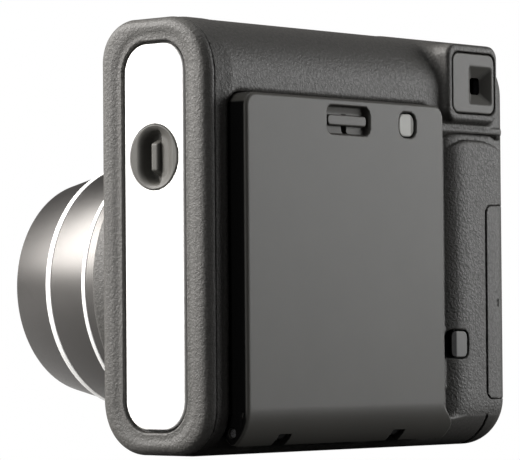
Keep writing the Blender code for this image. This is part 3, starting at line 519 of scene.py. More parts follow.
def make_metallic(name, base, roughness, axis_stretch, metallic=1.0, grain=0.01, spread=0.05):
    """Metal or metallic paint with fine lines stretched along one direction."""
    mat = new_material(name, base, roughness, metallic)
    place = coordinates(mat, axis_stretch)
    lines = noise(mat, place, 3.0, 3.0, 0.6)
    bump(mat, lines, grain)
    tint(mat, lines, scaled(base, 1.0 - spread), scaled(base, 1.0 + spread))
    wire(mat, remap(mat, lines, 0.3, 0.7, roughness - 0.03, roughness + 0.05),
         shader_of(mat).inputs["Roughness"])
    return mat


def make_glass(name, color, roughness=0.04, **sockets):
    mat = new_material(name, color, roughness, **sockets)
    place = coordinates(mat)
    smear = noise(mat, place, 0.12, 2.0)
    wire(mat, remap(mat, smear, 0.3, 0.7, roughness, roughness + 0.05),
         shader_of(mat).inputs["Roughness"])
    return mat


def make_board():
    base = (0.02, 0.13, 0.06)
    mat = new_material("board_mask", base, 0.35)
    place = coordinates(mat)
    traces = add_node(mat, "ShaderNodeTexBrick", Scale=0.35, offset=0.37)
    traces.inputs["Mortar Size"].default_value = 0.06
    traces.inputs["Color1"].default_value = (0.02, 0.12, 0.055, 1.0)
    traces.inputs["Color2"].default_value = (0.03, 0.17, 0.08, 1.0)
    traces.inputs["Mortar"].default_value = (0.07, 0.30, 0.14, 1.0)
    turn = add_node(mat, "ShaderNodeMapping")
    turn.inputs["Rotation"].default_value = (math.pi / 2.0, 0.0, 0.0)
    wire(mat, place, turn.inputs["Vector"])
    wire(mat, turn.outputs[0], traces.inputs["Vector"])
    wire(mat, traces.outputs["Color"], shader_of(mat).inputs["Base Color"])
    bump(mat, traces.outputs["Fac"], 0.03)
    return mat


def make_cell():
    """Shrink sleeve of a dry cell: a gold band over a black body, with no lettering."""
    mat = new_material("cell_sleeve", (0.5, 0.4, 0.15), 0.3, 0.6)
    place = coordinates(mat)
    foot, pitch = 15.2, 27.5
    above = math_node(mat, "SUBTRACT", split(mat, place)["Z"], foot)
    phase = math_node(mat, "MODULO", above, pitch)
    band = remap(mat, phase, 18.9, 19.1, 0.0, 1.0)
    tint(mat, band, (0.015, 0.015, 0.016), (0.62, 0.45, 0.16))
    vary_roughness(mat, place, 0.26, 0.36)
    return mat



def make_counter_glass_painted_shade():
    """Smoked counter window with painted shade: black with little specular at its door side, standing
    in for the shade on that side of the window.
    """
    mat = new_material("counter_smoke_painted_shade", (0.05, 0.05, 0.047), 0.42)
    place = coordinates(mat)
    # painted shade: the strip at the door side is painted black, with its specular turned down
    strip = remap(mat, split(mat, place)["X"], COUNTER_HI[0] - 2.9, COUNTER_HI[0] - 2.3, 0.0, 1.0)
    tint(mat, strip, (0.05, 0.05, 0.047), (0.003, 0.003, 0.003))
    gloss = remap(mat, strip, 0.0, 1.0, 0.30, 0.04)
    wire(mat, gloss, shader_of(mat).inputs["Specular IOR Level"])
    vary_roughness(mat, place, 0.38, 0.46)
    return mat


def make_shell_plastic(name):
    return make_satin(name, (0.062, 0.060, 0.054), 0.50, 0.012, 3.5, 0.05, Specular_IOR_Level=0.30)


def make_door_plastic_painted_shade():
    """Shell plastic with painted shade: the wall on the strap-lug side of the door is painted black,
    with little specular, where the gap beside the door is in shade.
    """
    mat = make_shell_plastic("door_plastic_painted_shade")
    shader = shader_of(mat)
    face = shader.inputs["Base Color"].links[0].from_socket
    axes = split(mat, coordinates(mat))
    # painted shade: the door's strap-lug side wall below its back face turns black, with its specular
    # turned down
    side = remap(mat, axes["X"], DOOR_HI[0] - 0.35, DOOR_HI[0] - 0.15, 0.0, 1.0)
    deep = remap(mat, axes["Y"], 48.8 + DATUM[1], 49.2 + DATUM[1], 1.0, 0.0)
    dark = math_node(mat, "MULTIPLY", side, deep)
    mix = add_node(mat, "ShaderNodeMix", data_type="RGBA")
    wire(mat, dark, mix.inputs["Factor"])
    wire(mat, face, mix.inputs[6])
    mix.inputs[7].default_value = (0.004, 0.004, 0.004, 1.0)
    wire(mat, mix.outputs[2], shader.inputs["Base Color"])
    wire(mat, remap(mat, dark, 0.0, 1.0, 0.30, 0.03), shader.inputs["Specular IOR Level"])
    return mat


def make_pill():
    """Pale film-window insert with a dark strip down its grip side."""
    mat = new_material("film_window_insert", (0.4, 0.4, 0.38), 0.5, Specular_IOR_Level=0.3)
    place = coordinates(mat)
    strip = remap(mat, split(mat, place)["X"], PILL_LO[0] + 1.3, PILL_LO[0] + 1.8, 0.0, 1.0)
    tint(mat, strip, (0.10, 0.10, 0.085), (0.40, 0.40, 0.375))
    vary_roughness(mat, place, 0.48, 0.56)
    return mat


LEATHER = make_leather("leather_grain", 0.10)
LID_GRAIN = make_leather("leather_grain_fine", 0.06)
SHELL = make_shell_plastic("shell_plastic")
BLACK = make_satin("black_plastic", (0.016, 0.016, 0.017), 0.48, 0.02, 3.0, 0.15)
BAFFLE = make_satin("baffle_black", (0.008, 0.008, 0.008), 0.75, 0.05, 2.5, 0.2)
WHITE = make_satin("panel_white", (0.88, 0.88, 0.87), 0.28, 0.003, 2.0, 0.01)
SILVER = make_satin("trim_silver", (0.86, 0.86, 0.85), 0.25, 0.003, 2.0, 0.02)
GUNMETAL = make_metallic("barrel_paint", (0.088, 0.085, 0.082), 0.38, (0.35, 1.0, 0.35), 0.92,
                         0.004)
STEEL = make_metallic("brushed_steel", (0.56, 0.56, 0.57), 0.28, (0.1, 1.0, 1.0))
MIRROR = make_metallic("mirror_face", (0.9, 0.91, 0.92), 0.05, (1.0, 1.0, 1.0), grain=0.0005,
                       spread=0.01)
NYLON = make_satin("nylon_gear", (0.72, 0.70, 0.62), 0.42, 0.01, 3.0, 0.04, Subsurface_Weight=0.1)
BOARD = make_board()
CELL = make_cell()
FELT = make_satin("felt_black", (0.012, 0.012, 0.012), 0.95, 0.12, 6.0, 0.3, Sheen_Weight=0.4)
SHEET = make_satin("film_sheet_white", (0.78, 0.78, 0.76), 0.4, 0.004, 2.0, 0.02)
PALE = make_satin("window_backing", (0.30, 0.30, 0.28), 0.4, 0.003, 2.0, 0.02)
# door plastic with painted shade on its strap-lug side wall
DOOR_PLASTIC_PAINTED_SHADE = make_door_plastic_painted_shade()
PILL = make_pill()
# counter glass with a painted-shade strip at its door side
COUNTER_GLASS_PAINTED_SHADE = make_counter_glass_painted_shade()
CLEAR = make_glass("clear_acrylic", (0.9, 0.92, 0.93), 0.03, Transmission_Weight=1.0, IOR=1.49)
SMOKE = make_glass("smoked_acrylic", (0.03, 0.03, 0.035), 0.05, Coat_Weight=0.4,
                   Coat_Roughness=0.03)
LENS = make_glass("coated_glass", (0.10, 0.07, 0.16), 0.03, Transmission_Weight=0.85, IOR=1.6,
                  Coat_Weight=1.0, Coat_Roughness=0.02)


# ---------------- body shells

def hull(x, y, z):
    """The whole body's outside as one rounded solid, with raked flanks at the strap-lug end."""
    outline = rect2(y, z, (FRONT_Y, 0.0), (BACK_Y, HEIGHT), CORNERS)
    ends = smoothstep(np.abs(z - HEIGHT / 2.0), HEIGHT / 2.0 - 14.0, HEIGHT / 2.0 - 3.0)
    rear = smoothstep(y, 20.0, 30.0) * (1.0 - ends)
    rake = math.radians(9.0)
    start = 60.0 - 2.5 * rear
    flank = outline * math.cos(rake) + (x - start) * math.sin(rake) * (1.0 - 0.45 * ends)
    outline = np.where(x > 40.0, np.maximum(outline, flank), outline)
    edge = np.where(x > 0.0, LEFT_EDGE, RIGHT_EDGE)
    return rounded(outline + edge, np.abs(x) - HALF + edge, edge)


def battery_region(x, y, z, grow=0.0):
    """Solid that the battery door is cut from, with rounded corners."""
    side = meet(x - BATTERY_HI[0], BATTERY_LO[1] - y, 0.4)
    return meet(side, slab(z, BATTERY_LO[2], BATTERY_HI[2]), BATTERY_EDGE) - grow


def door_face(x, z, grow=0.0):
    """Film door seen from behind: square sides and a foot that flares out towards the grip."""
    reach = FLARE * (1.0 - smoothstep(z, *FLARE_Z))
    high = (DOOR_HI[0], DOOR_HI[2])
    tall = rect2(x, z, (DOOR_RIGHT, -20.0), high, (0.5, 0.5, 4.0, 4.0))
    foot = np.maximum(np.maximum(DOOR_RIGHT - reach - x, x - DOOR_HI[0]), z - 30.0)
    return np.minimum(tall, foot * 0.85) - grow


def grip_relief(x, y, z):
    """Hollow beside the door, so that the grip swells out as a thumb column."""
    swell = np.hypot(x - COLUMN_X, y - (BACK_Y - COLUMN_R)) - COLUMN_R
    swell = np.where(x > COLUMN_X, swell, y - BACK_Y)
    floor = 41.4 + 1.0 * smoothstep(x, -33.5, -30.0)
    floor = floor + 0.22 * (1.0 - smoothstep(np.abs(z - 26.4), 8.4, 9.6))
    solid = np.minimum(swell, y - floor)
    low = meet(x - DOOR_RIGHT - 2.0, slab(z, FOOT_TOP, COLUMN_TOP), 3.0)
    return meet(-solid, low, 0.6)


def rear_outside(x, y, z):
    """Rear cover's outside: hull, thumb column, ledge, viewfinder block and the foot's creases."""
    body = hull(x, y, z)
    body = cut(body, grip_relief(x, y, z), 1.2)
    arch = COLUMN_TOP - 2.1 * np.clip(np.abs(x + 49.0) / 12.5, 0.0, 1.2) ** 2.4
    crease = np.maximum(slab(z, arch - 0.9, arch + 1.6), BACK_Y - 1.5 - y)
    body = cut(body, np.maximum(crease, slab(x, -62.0, -20.0)), 1.5)
    ledge = box3(x, y, z, (-62.0, 30.0, COLUMN_TOP + 0.9), (-26.0, BACK_Y + 0.55, 94.4), 0.6)
    body = join(body, meet(ledge, hull(x, y, z) - 0.6, 0.4), 0.5)
    face = rect2(x, z, (PLATE_LO[0] - 1.8, PLATE_LO[2] - 2.7),
                 (PLATE_HI[0] + 2.3, PLATE_HI[2] + 2.7), 3.8)
    block = meet(face, slab(y, 30.0, 47.3), 1.3)
    body = join(body, block, 2.4)
    line = np.maximum(np.hypot(z - FOOT_TOP + 0.3, y - BACK_Y) - 0.7, slab(x, FOOT_SEAM_X, -20.0))
    body = cut(body, line, 0.2)
    skin = np.maximum(np.abs(x - FOOT_SEAM_X) - 0.4, -(hull(x, y, z) + 0.8))
    return cut(body, np.maximum(skin, z - FOOT_TOP), 0.15)


def film_opening(x, y, z):
    """Room that the door closes, and the room its foot sweeps through as it opens."""
    behind = np.maximum(door_face(x, z, 0.35), 40.1 - y)
    sweep = box3(x, y, z, (DOOR_LO[0] - 0.35, 39.5, -3.0), (DOOR_HI[0] + 0.35, 44.0, 11.2), 0.1)
    return np.minimum(behind, sweep)


def hinge_ears(x, y, z):
    """Two ears from the base round the hinge pin."""
    forward, upward = EAR_ALONG
    along = (y - EAR_FOOT[0]) * forward + (z - EAR_FOOT[1]) * upward
    across = (z - EAR_FOOT[1]) * forward - (y - EAR_FOOT[0]) * upward
    arm = np.maximum(np.abs(across) - 0.5 - 0.13 * along, slab(along, -1.5, 7.9))
    radius = np.hypot(y - HINGE_Y, z - HINGE_Z)
    ears = np.minimum(*[slab(x, centre - EAR_HALF, centre + EAR_HALF) for centre in HINGE_XS])
    d = meet(np.minimum(arm, radius - 2.2), ears, 0.2)
    return np.maximum(d, 1.45 - radius)


def rear_cover(x, y, z):
    """Hollow rear shell with its openings for the door, finder, counter, battery door and film."""
    outside = rear_outside(x, y, z)
    d = cut(outside, film_opening(x, y, z), 1.6)
    d = meet(d, slab(x, -SEAM_X + SEAM, SEAM_X - SEAM), 0.15)
    d = meet(d, SPLIT_Y + SEAM - y, 0.15)
    cavity = np.maximum(hull(x, y, z) + WALL, outside + 0.9)
    cavity = np.minimum(cavity, outside + WALL + 0.4)
    d = np.maximum(d, -cavity)
    plate = rect2(x, z, PLATE_LO[[0, 2]] - GAP, PLATE_HI[[0, 2]] + GAP, 3.0)
    d = cut(d, np.maximum(plate, 44.4 - y), 0.35)
    half = 6.85
    bore = rect2(x, z, (FINDER_X - half, FINDER_Z - half), (FINDER_X + half, FINDER_Z + half), 0.5)
    d = np.maximum(d, -np.maximum(bore, 38.0 - y))
    window = rect2(x, z, COUNTER_LO[[0, 2]] - GAP, COUNTER_HI[[0, 2]] + GAP, 2.2)
    d = cut(d, np.maximum(window, 38.0 - y), 0.5)
    d = cut(d, battery_region(x, y, z, 0.07), 0.05)
    exit_slot = rect2(x, y, (LENS_X - 38.5, 26.3), (LENS_X + 38.5, 31.3), 0.8)
    return cut(d, np.maximum(exit_slot, 112.0 - z), 0.6)


def panel_distance(y, z):
    """Distance across the end to the white panel's edge."""
    return rect2(y, z, PANEL_LO[1:], PANEL_HI[1:] - (0.45, 0.0), PANEL_R)


def cap_outside(x, y, z):
    """Left end: a dished rim round the white panel, standing a little proud of the body."""
    away = panel_distance(y, z)
    rise = smoothstep(away, 2.2, 5.0)
    top = x - (PANEL_HI[0] + 0.25 + 0.65 * rise)
    proud = 0.15 * smoothstep(x, CAP_LO[0] - 0.1, CAP_LO[0] + 0.7)
    return meet(hull(x, y, z) - proud, top, 0.8)


def left_cap(x, y, z):
    d = meet(cap_outside(x, y, z), CAP_LO[0] - 0.1 - x, 0.15)
    away = panel_distance(y, z)
    d = cut(d, np.maximum(away - 0.85, PANEL_LO[0] - GAP - x), 0.3)
    bore = np.hypot(y - LUG_Y, z - LUG_Z) - LUG_R - GAP
    return np.maximum(d, -bore)


def right_cap(x, y, z):
    d = meet(hull(x, y, z), x + CAP_LO[0] - 0.1, 0.15)
    return cut(d, battery_region(x, y, z, 0.07), 0.05)


def battery_door(x, y, z):
    d = meet(hull(x, y, z), battery_region(x, y, z), 0.15)
    cavity = hull(x, y, z) + WALL
    d = np.maximum(d, -cavity)
    mark = box3(x, y, z, (-59.7, 40.0, 41.2), (-59.0, 50.0, 43.2), 0.2)
    return cut(d, np.maximum(mark, -(hull(x, y, z) + 0.35)), 0.1)


def front_cover(x, y, z):
    """Hollow front shell with the lens collar, windows and button well."""
    radius = np.hypot(x - LENS_X, z - LENS_Z)
    collar = meet(radius - COLLAR_R, slab(y, COLLAR_Y, FRONT_Y + 8.0), 1.4)
    outside = join(hull(x, y, z), collar, 2.2)
    d = meet(outside, slab(x, -SEAM_X + SEAM, SEAM_X - SEAM), 0.15)
    d = meet(d, y - SPLIT_Y + SEAM, 0.15)
    cavity = hull(x, y, z) + WALL
    d = np.maximum(d, -cavity)
    d = cut(d, radius - COLLAR_BORE_R, 0.5)
    for node, corner, _ in FRONT_WINDOWS:
        low, high = span(node)
        hole = rect2(x, z, low[[0, 2]] - GAP, high[[0, 2]] + GAP, corner)
        d = cut(d, np.maximum(hole, y - 12.0), 0.4)
    button = np.hypot(x - BUTTON_X, z - BUTTON_Z) - BUTTON_R
    d = cut(d, np.maximum(button - 2.6, y - FRONT_Y - 0.5), 0.5)
    d = cut(d, np.maximum(button - GAP, y - 10.0), 0.5)
    return cut(d, battery_region(x, y, z, 0.12), 0.1)


def make_body():
    shell("rear_shell", rear_cover, REAR_LO, (REAR_HI[0], 49.6, REAR_HI[2]), 0.6, "camera_body",
          "leather", LEATHER, ("rear_cover",))
    shell("hinge_ear_pair", hinge_ears, (-11.0, 34.0, 0.2), (42.0, 46.1, 9.0), 0.35, "camera_body",
          "black_plastic", BAFFLE)
    shell("front_shell", front_cover, *span("front_cover"), 0.7, "camera_body", "leather", LEATHER,
          ("front_cover",))
    shell("left_end_rim", left_cap, CAP_LO, BODY_HI, 0.42, "camera_body", "leather", LEATHER,
          ("left_end_cap",))
    shell("right_end_rim", right_cap, *span("right_end_cap"), 0.5, "camera_body", "leather", LEATHER,
          ("right_end_cap",))
    shell("battery_lid", battery_door, BATTERY_LO, BATTERY_HI, 0.5, "battery_door", "leather",
          LID_GRAIN, ("battery_door",))


# ---------------- film door

def door_section(y, z):
    """Door in side view: a slab whose foot rolls in under the body and carries the knuckles."""
    roll = np.hypot(y - DOOR_BACK_Y + ROLL_R, z - ROLL_Z) - ROLL_R
    back = np.where(z > ROLL_Z, y - DOOR_BACK_Y, roll)
    plate = rect2(y, z, (42.0, HINGE_Z + 5.2), (80.0, 130.0), 0.3)
    wall = np.maximum(-roll - 2.2, np.maximum(z - ROLL_Z - 1.0, 44.0 - y))
    knuckle = np.hypot(y - HINGE_Y, z - HINGE_Z) - HINGE_R
    web = rect2(y, z, (42.9, 3.2), (48.0, 13.0), 0.4)
    return np.maximum(np.minimum(np.minimum(plate, wall), join(knuckle, web, 0.8)), back)


def film_door(x, y, z):
    """Hollow film door with its latch pocket, film window and hinge notches."""
    outside = meet(door_section(y, z), door_face(x, z), 1.1)
    hollow = box3(x, y, z, (DOOR_RIGHT + WALL, 30.0, ROLL_Z + 0.6),
                  (DOOR_HI[0] - WALL, DOOR_BACK_Y - WALL, DOOR_HI[2] - WALL), 0.6)
    d = cut(outside, hollow, 0.3)
    half_x = POCKET_SIZE[0] / 2.0
    half_z = POCKET_SIZE[1] / 2.0
    back = box3(x, y, z, (LATCH_X - half_x - WALL, 44.6, 87.0),
                (LATCH_X + half_x + WALL, 48.5, DOOR_HI[2] - 1.0), 0.4)
    d = np.minimum(d, back)
    pocket = rect2(x, z, (LATCH_X - half_x, LATCH_Z - half_z),
                   (LATCH_X + half_x, LATCH_Z + half_z), 2.2)
    floor = POCKET_FLOOR_Y + 0.5 * smoothstep(np.abs(z - LATCH_Z), 1.6, 4.2) - y
    d = cut(d, meet(pocket, floor, 0.5), 0.3)
    slot = box3(x, y, z, (LATCH_X - 0.9, 40.0, LATCH_Z - 3.6),
                (LATCH_X + 0.9, 50.0, LATCH_Z + 1.5), 0.2)
    d = np.maximum(d, -slot)
    pill = rect2(x, z, PILL_LO[[0, 2]] - GAP, PILL_HI[[0, 2]] + GAP, 2.5)
    d = cut(d, np.maximum(pill, 45.0 - y), 0.25)
    radius = np.hypot(y - HINGE_Y, z - HINGE_Z)
    d = np.maximum(d, 1.5 - radius)
    first = math.radians(155.0)
    last = math.radians(320.0)
    wedge = np.maximum((y - HINGE_Y) * math.sin(first) - (z - HINGE_Z) * math.cos(first),
                       (z - HINGE_Z) * math.cos(last) - (y - HINGE_Y) * math.sin(last))
    swing = np.minimum(np.maximum(wedge, radius - NOTCH_R), radius - HINGE_R - 0.2)
    for centre in HINGE_XS:
        notch = np.maximum(swing, slab(x, centre - NOTCH_HALF, centre + NOTCH_HALF))
        d = np.maximum(d, -notch)
    return d


def latch(x, y, z):
    """Latch slider: thumb bar, stem, hidden plate and two hooks."""
    bar = rect2(x, z, (LATCH_X - 8.4, LATCH_Z - 1.55), (LATCH_X + 8.4, LATCH_Z + 1.55), 1.2)
    d = meet(bar, slab(y, 48.15, 49.3), 0.45)
    inner, outer = 42.2, 43.6
    stem = box3(x, y, z, (LATCH_X - 0.6, inner, LATCH_Z - 1.2),
                (LATCH_X + 0.6, 48.8, LATCH_Z + 1.2), 0.2)
    plate = box3(x, y, z, (LATCH_X - 23.0, inner, LATCH_Z - 1.7),
                 (LATCH_X + 23.0, outer, LATCH_Z + 1.7), 0.25)
    d = np.minimum(np.minimum(d, stem), plate)
    for middle in (LATCH_X - 21.0, LATCH_X + 21.0):
        hook = box3(x, y, z, (middle - 2.0, inner, LATCH_Z),
                    (middle + 2.0, outer, LATCH_Z + 3.8), 0.25)
        d = np.minimum(d, hook)
    return d


def pill_window(x, y, z):
    """Rounded insert that fills the door's film window."""
    outline = rect2(x, z, PILL_LO[[0, 2]], PILL_HI[[0, 2]], 2.3)
    return meet(outline, slab(y, 48.0, 49.4), 0.5)


def pill_backing(x, y, z):
    """Shallow tray behind the insert."""
    outline = rect2(x, z, PILL_LO[[0, 2]] + 0.1, PILL_HI[[0, 2]] - 0.1, 2.2)
    tray = meet(outline, slab(y, 46.4, 47.85), 0.1)
    return cut(tray, np.maximum(outline + 0.7, 47.0 - y), 0.1)


def make_door():
    # the film door shell carries painted shade on its strap-lug side wall
    shell("film_door_shell", film_door, DOOR_LO, DOOR_HI, 0.5, "film_door", "smooth_shell",
          DOOR_PLASTIC_PAINTED_SHADE, ("film_door",))
    shell("door_latch_slider", latch, *span("door_latch"), 0.3, "door_latch", "smooth_shell", SHELL,
          ("door_latch",))
    shell("film_window_lens", pill_window, PILL_LO, PILL_HI, 0.2, "film_door", "clear_window", PILL,
          ("film_door_window",))
    shell("film_window_backing", pill_backing, (PILL_LO[0], 46.4, PILL_LO[2]),
          (PILL_HI[0], 47.9, PILL_HI[2]), 0.25, "film_door", "film_white", PALE)


# ---------------- side panel, lug, finder, windows

def side_panel(x, y, z):
    d = meet(panel_distance(y, z), slab(x, PANEL_LO[0], PANEL_HI[0]), 0.4)
    return cut(d, np.hypot(y - LUG_Y, z - LUG_Z) - LUG_R - 0.15, 0.2)


def lug_cup(x, y, z):
    """Round cup with a soft oval hollow behind the strap bar."""
    radius = np.hypot(y - LUG_Y, z - LUG_Z)
    d = meet(radius - LUG_R, slab(x, CUP_LO[0], CUP_HI[0]), 0.35)
    bowl = rect2(y, z, (LUG_Y - 5.2, LUG_Z - 7.7), (LUG_Y + 6.6, LUG_Z + 7.7), 5.1)
    dish = CUP_HI[0] - 1.7 + 0.24 * (y - LUG_Y - 1.2)
    deep = CUP_LO[0] + 1.4
    floor = deep + (dish - deep) * smoothstep(y, LUG_Y + 0.4, LUG_Y + 1.6)
    return cut(d, meet(bowl + 0.25 * (CUP_HI[0] - x), floor - x, 1.8), 1.3)


def lug_bar(x, y, z):
    """Vertical strap bar that dips into the cup at both ends."""
    rise = 1.0 - smoothstep(np.abs(z - LUG_Z), 3.4, 5.4)
    front = BAR_HI[0] - 3.0 * (1.0 - rise) - 0.1
    bar = rect2(y, z, BAR_LO[1:], BAR_HI[1:], 1.2)
    d = meet(bar, slab(x, BAR_LO[0] - 1.2, BAR_HI[0] + 2.0), 0.2)
    return meet(d, x - front, 0.9)


def eyepiece(x, y, z):
    """Square eyepiece plate with a mouth that narrows inward."""
    plate = rect2(x, z, PLATE_LO[[0, 2]], PLATE_HI[[0, 2]], 2.7)
    d = meet(plate, slab(y, PLATE_LO[1], PLATE_HI[1]), 0.45)
    depth = np.clip((PLATE_HI[1] - y) / 2.3, 0.0, 1.0)
    corner = 0.9
    half_x = 5.5 - 3.4 * depth
    half_z = 5.7 - 3.4 * depth
    mouth = rounded(np.abs(x - FINDER_X) - half_x + corner, np.abs(z - FINDER_Z) - half_z + corner,
                    corner)
    return cut(d, mouth * 0.56, 0.2)


def window_field(low, high, corner, edge):
    """Distance function of a rounded plate in the XZ plane."""
    def field(x, y, z):
        outline = rect2(x, z, low[[0, 2]], high[[0, 2]], corner)
        return meet(outline, slab(y, low[1], high[1]), edge)
    return field


def make_small_pieces():
    shell("side_panel_plate", side_panel, PANEL_LO, PANEL_HI, 0.45, "camera_body", "silver_trim",
          WHITE, ("side_panel",))
    shell("lug_cup_bowl", lug_cup, CUP_LO, CUP_HI, 0.3, "camera_body", "smooth_shell", SHELL,
          ("strap_lug_cup",))
    shell("lug_bar_loop", lug_bar, (BAR_LO[0] - 1.2, BAR_LO[1], BAR_LO[2]), BAR_HI, 0.25,
          "camera_body", "smooth_shell", SHELL, ("strap_lug_bar",))
    shell("eyepiece_frame", eyepiece, PLATE_LO, PLATE_HI, 0.25, "camera_body", "smooth_shell",
          SHELL, ("eyepiece_plate",))
    for node, hole_corner, slot in FRONT_WINDOWS:
        low, high = span(node)
        pane = window_field(low, high, hole_corner - 0.2, 0.3)
        material = CLEAR if slot == "clear_window" else SMOKE
        shell(node + "_pane", pane, low, high, 0.3, "camera_body", slot, material, (node,))
    # the counter window's black strip at its door side is painted shade
    shell("counter_window_lens", window_field(COUNTER_LO, COUNTER_HI, 1.9, 0.3), COUNTER_LO,
          COUNTER_HI, 0.2, "camera_body", "clear_window", COUNTER_GLASS_PAINTED_SHADE, ("counter_window",))


# ---------------- lens

def make_barrels(centre):
    """Front barrel, middle barrel and mode ring; the middle barrel and the mode ring each carry a
    bright trim band.
    """
    tube = (BARREL_HI[0] - BARREL_LO[0]) / 2.0
    front = BARREL_LO[1]
    trim = MID_TRIM_LO[1]
    lathe("front_barrel_tube",
          [(FRONT_RIM_R, front, 0.6), (tube, trim - 0.3, 0.5), (tube, BARREL_HI[1], 0.3),
           (33.6, BARREL_HI[1], 0.3), (33.6, -36.0, 0.2), (FRONT_RIM_R - 1.6, -50.6, 0.0),
           (FRONT_RIM_R - 1.6, front, 0.5)],
          centre, "Y", "front_barrel", GUNMETAL, ("front_barrel",))
    mid_front = (MID_TRIM_HI[0] - MID_TRIM_LO[0]) / 2.0
    mid_rear = (MID_HI[0] - MID_LO[0]) / 2.0
    lathe("mid_trim_band",
          [(MID_BORE_R, trim, 0.1), (mid_front, trim, 0.35), (mid_front, MID_TRIM_HI[1], 0.15),
           (MID_BORE_R, MID_TRIM_HI[1], 0.0)],
          centre, "Y", "mid_barrel", SILVER, ("mid_barrel_trim",))
    lathe("mid_barrel_tube",
          [(MID_BORE_R, MID_LO[1], 0.0), (mid_front, MID_LO[1], 0.15),
           (mid_rear, RING_TRIM_LO[1], 0.0), (mid_rear, MID_HI[1], 0.3),
           (MID_BORE_R, MID_HI[1], 0.3)],
          centre, "Y", "mid_barrel", GUNMETAL, ("mid_barrel",))
    ring = (RING_TRIM_HI[0] - RING_TRIM_LO[0]) / 2.0
    flange, flange_y = ring + 1.2, 6.8
    lathe("ring_trim_band",
          [(RING_BORE_R, RING_TRIM_LO[1], 0.1), (ring, RING_TRIM_LO[1], 0.35),
           (ring, RING_TRIM_HI[1], 0.15), (RING_BORE_R, RING_TRIM_HI[1], 0.0)],
          centre, "Y", "mode_ring", SILVER, ("mode_ring_trim",))
    lathe("mode_ring_tube",
          [(RING_BORE_R, RING_LO[1], 0.0), (ring, RING_LO[1], 0.15), (ring, flange_y, 0.3),
           (flange, flange_y, 0.2), (flange, RING_HI[1], 0.2), (RING_BORE_R, RING_HI[1], 0.2)],
          centre, "Y", "mode_ring", GUNMETAL, ("mode_ring",))


def make_lens():
    """Barrels, stepped bezel, front element and the mirror beside it."""
    centre = (LENS_X, LENS_Z)
    make_barrels(centre)
    lathe("lens_bezel_rings",
          [(29.35, -50.3, 0.3), (29.35, -49.2, 0.0), (17.2, -48.0, 0.0), (11.9, -44.6, 0.0),
           (10.6, -44.6, 0.0), (10.6, -46.4, 0.3), (12.4, -47.2, 0.2), (13.0, -47.0, 0.2),
           (15.4, -48.2, 0.3), (16.4, -50.3, 0.4), (22.5, -50.3, 0.1), (22.7, -50.1, 0.05),
           (22.9, -50.3, 0.1)],
          centre, "Y", "front_barrel", BLACK, ("lens_bezel",))
    glass_r, edge_y, crown = 10.2, -44.5, 2.5
    steps = 8
    dome = [(0.0, edge_y - crown, 0.0)]
    for k in range(1, steps + 1):
        t = k / steps
        dome.append((glass_r * t, edge_y - crown * math.sqrt(1.0 - t * t), 0.0))
    dome += [(glass_r, -43.8, 0.0), (0.0, -43.4, 0.0)]
    lathe("front_element", dome, centre, "Y", "front_barrel", LENS, ("front_lens",),
          96, 60.0)
    mirror_lo, mirror_hi = span("selfie_mirror")
    middle = (mirror_lo + mirror_hi) / 2.0
    radius = (mirror_hi[0] - mirror_lo[0]) / 2.0
    steps = 6
    bulge = [(0.0, mirror_lo[1], 0.0)]
    for k in range(1, steps + 1):
        t = k / steps
        bulge.append((radius * t, mirror_lo[1] + 0.45 * t * t, 0.0))
    bulge += [(radius, mirror_hi[1], 0.0), (0.0, mirror_hi[1], 0.0)]
    lathe("selfie_mirror_dome", bulge, (middle[0], middle[2]), "Y", "front_barrel",
          MIRROR, ("selfie_mirror",), 64, 60.0)


def make_button():
    """Slightly dished cap on a flange that keeps it in the cover."""
    top = BUTTON_LO[1]
    flange_r, flange_front, flange_back = BUTTON_R + 1.0, 3.9, 4.9
    lathe("shutter_button_cap",
          [(0.0, top + 0.35, 0.0), (BUTTON_R - 2.6, top + 0.1, 0.0), (BUTTON_R - 1.2, top, 0.5),
           (BUTTON_R, top + 1.2, 0.5), (BUTTON_R, flange_front, 0.0),
           (flange_r, flange_front, 0.2), (flange_r, flange_back, 0.2), (0.0, flange_back, 0.0)],
          (BUTTON_X, BUTTON_Z), "Y", "shutter_button", SILVER,
          ("shutter_button",), 96)


# ---------------- finishes of the inner CAD pieces

INNER = {
    BLACK: ("finder_tube", "flash_capacitor", "shutter_blade_upper", "shutter_blade_lower", "film_pack",
            "battery_holder", "shutter_housing", "counter_dial"),
    BAFFLE: ("chassis", "light_cone"),
    STEEL: ("shutter_button_spring", "door_hinge_pin", "door_latch_spring", "pack_spring_upper",
            "pack_spring_lower", "pick_claw", "front_roller", "rear_roller", "roller_bracket_left",
            "roller_bracket_right", "motor"),
    NYLON: ("roller_drive_gear", "idler_gear", "motor_pinion"),
    CLEAR: ("eyepiece_lens", "finder_objective", "flash_tube"),
    LENS: ("rear_lens",),
    MIRROR: ("flash_reflector",),
    CELL: ("battery_lower", "battery_upper"),
    BOARD: ("circuit_board",),
    SHEET: ("film_sheet",),
    FELT: ("exit_light_seal",),
}


def finish_inner_pieces():
    for material, nodes in INNER.items():
        for node in nodes:
            mesh = NODES[node].data
            mesh.materials.clear()
            mesh.materials.append(material)


# ---------------- stage, lights and camera

CENTRE = (0.0, 0.02, 0.06)
LIGHT_DISTANCE = 1.1


def add_light(name, azimuth, elevation, size, power, color=(1.0, 1.0, 1.0)):
    """Rectangular soft light aimed at the object's middle; lengths in metres."""
    data = bpy.data.lights.new(name, "AREA")
    data.shape = "RECTANGLE"
    data.size, data.size_y = size
    data.energy = power
    data.color = color
    light = bpy.data.objects.new(name, data)
    bpy.context.scene.collection.objects.link(light)
    place = around(azimuth, elevation, LIGHT_DISTANCE)
    light.location = place
    light.rotation_euler = (Vector(CENTRE) - place).to_track_quat("-Z", "Y").to_euler()


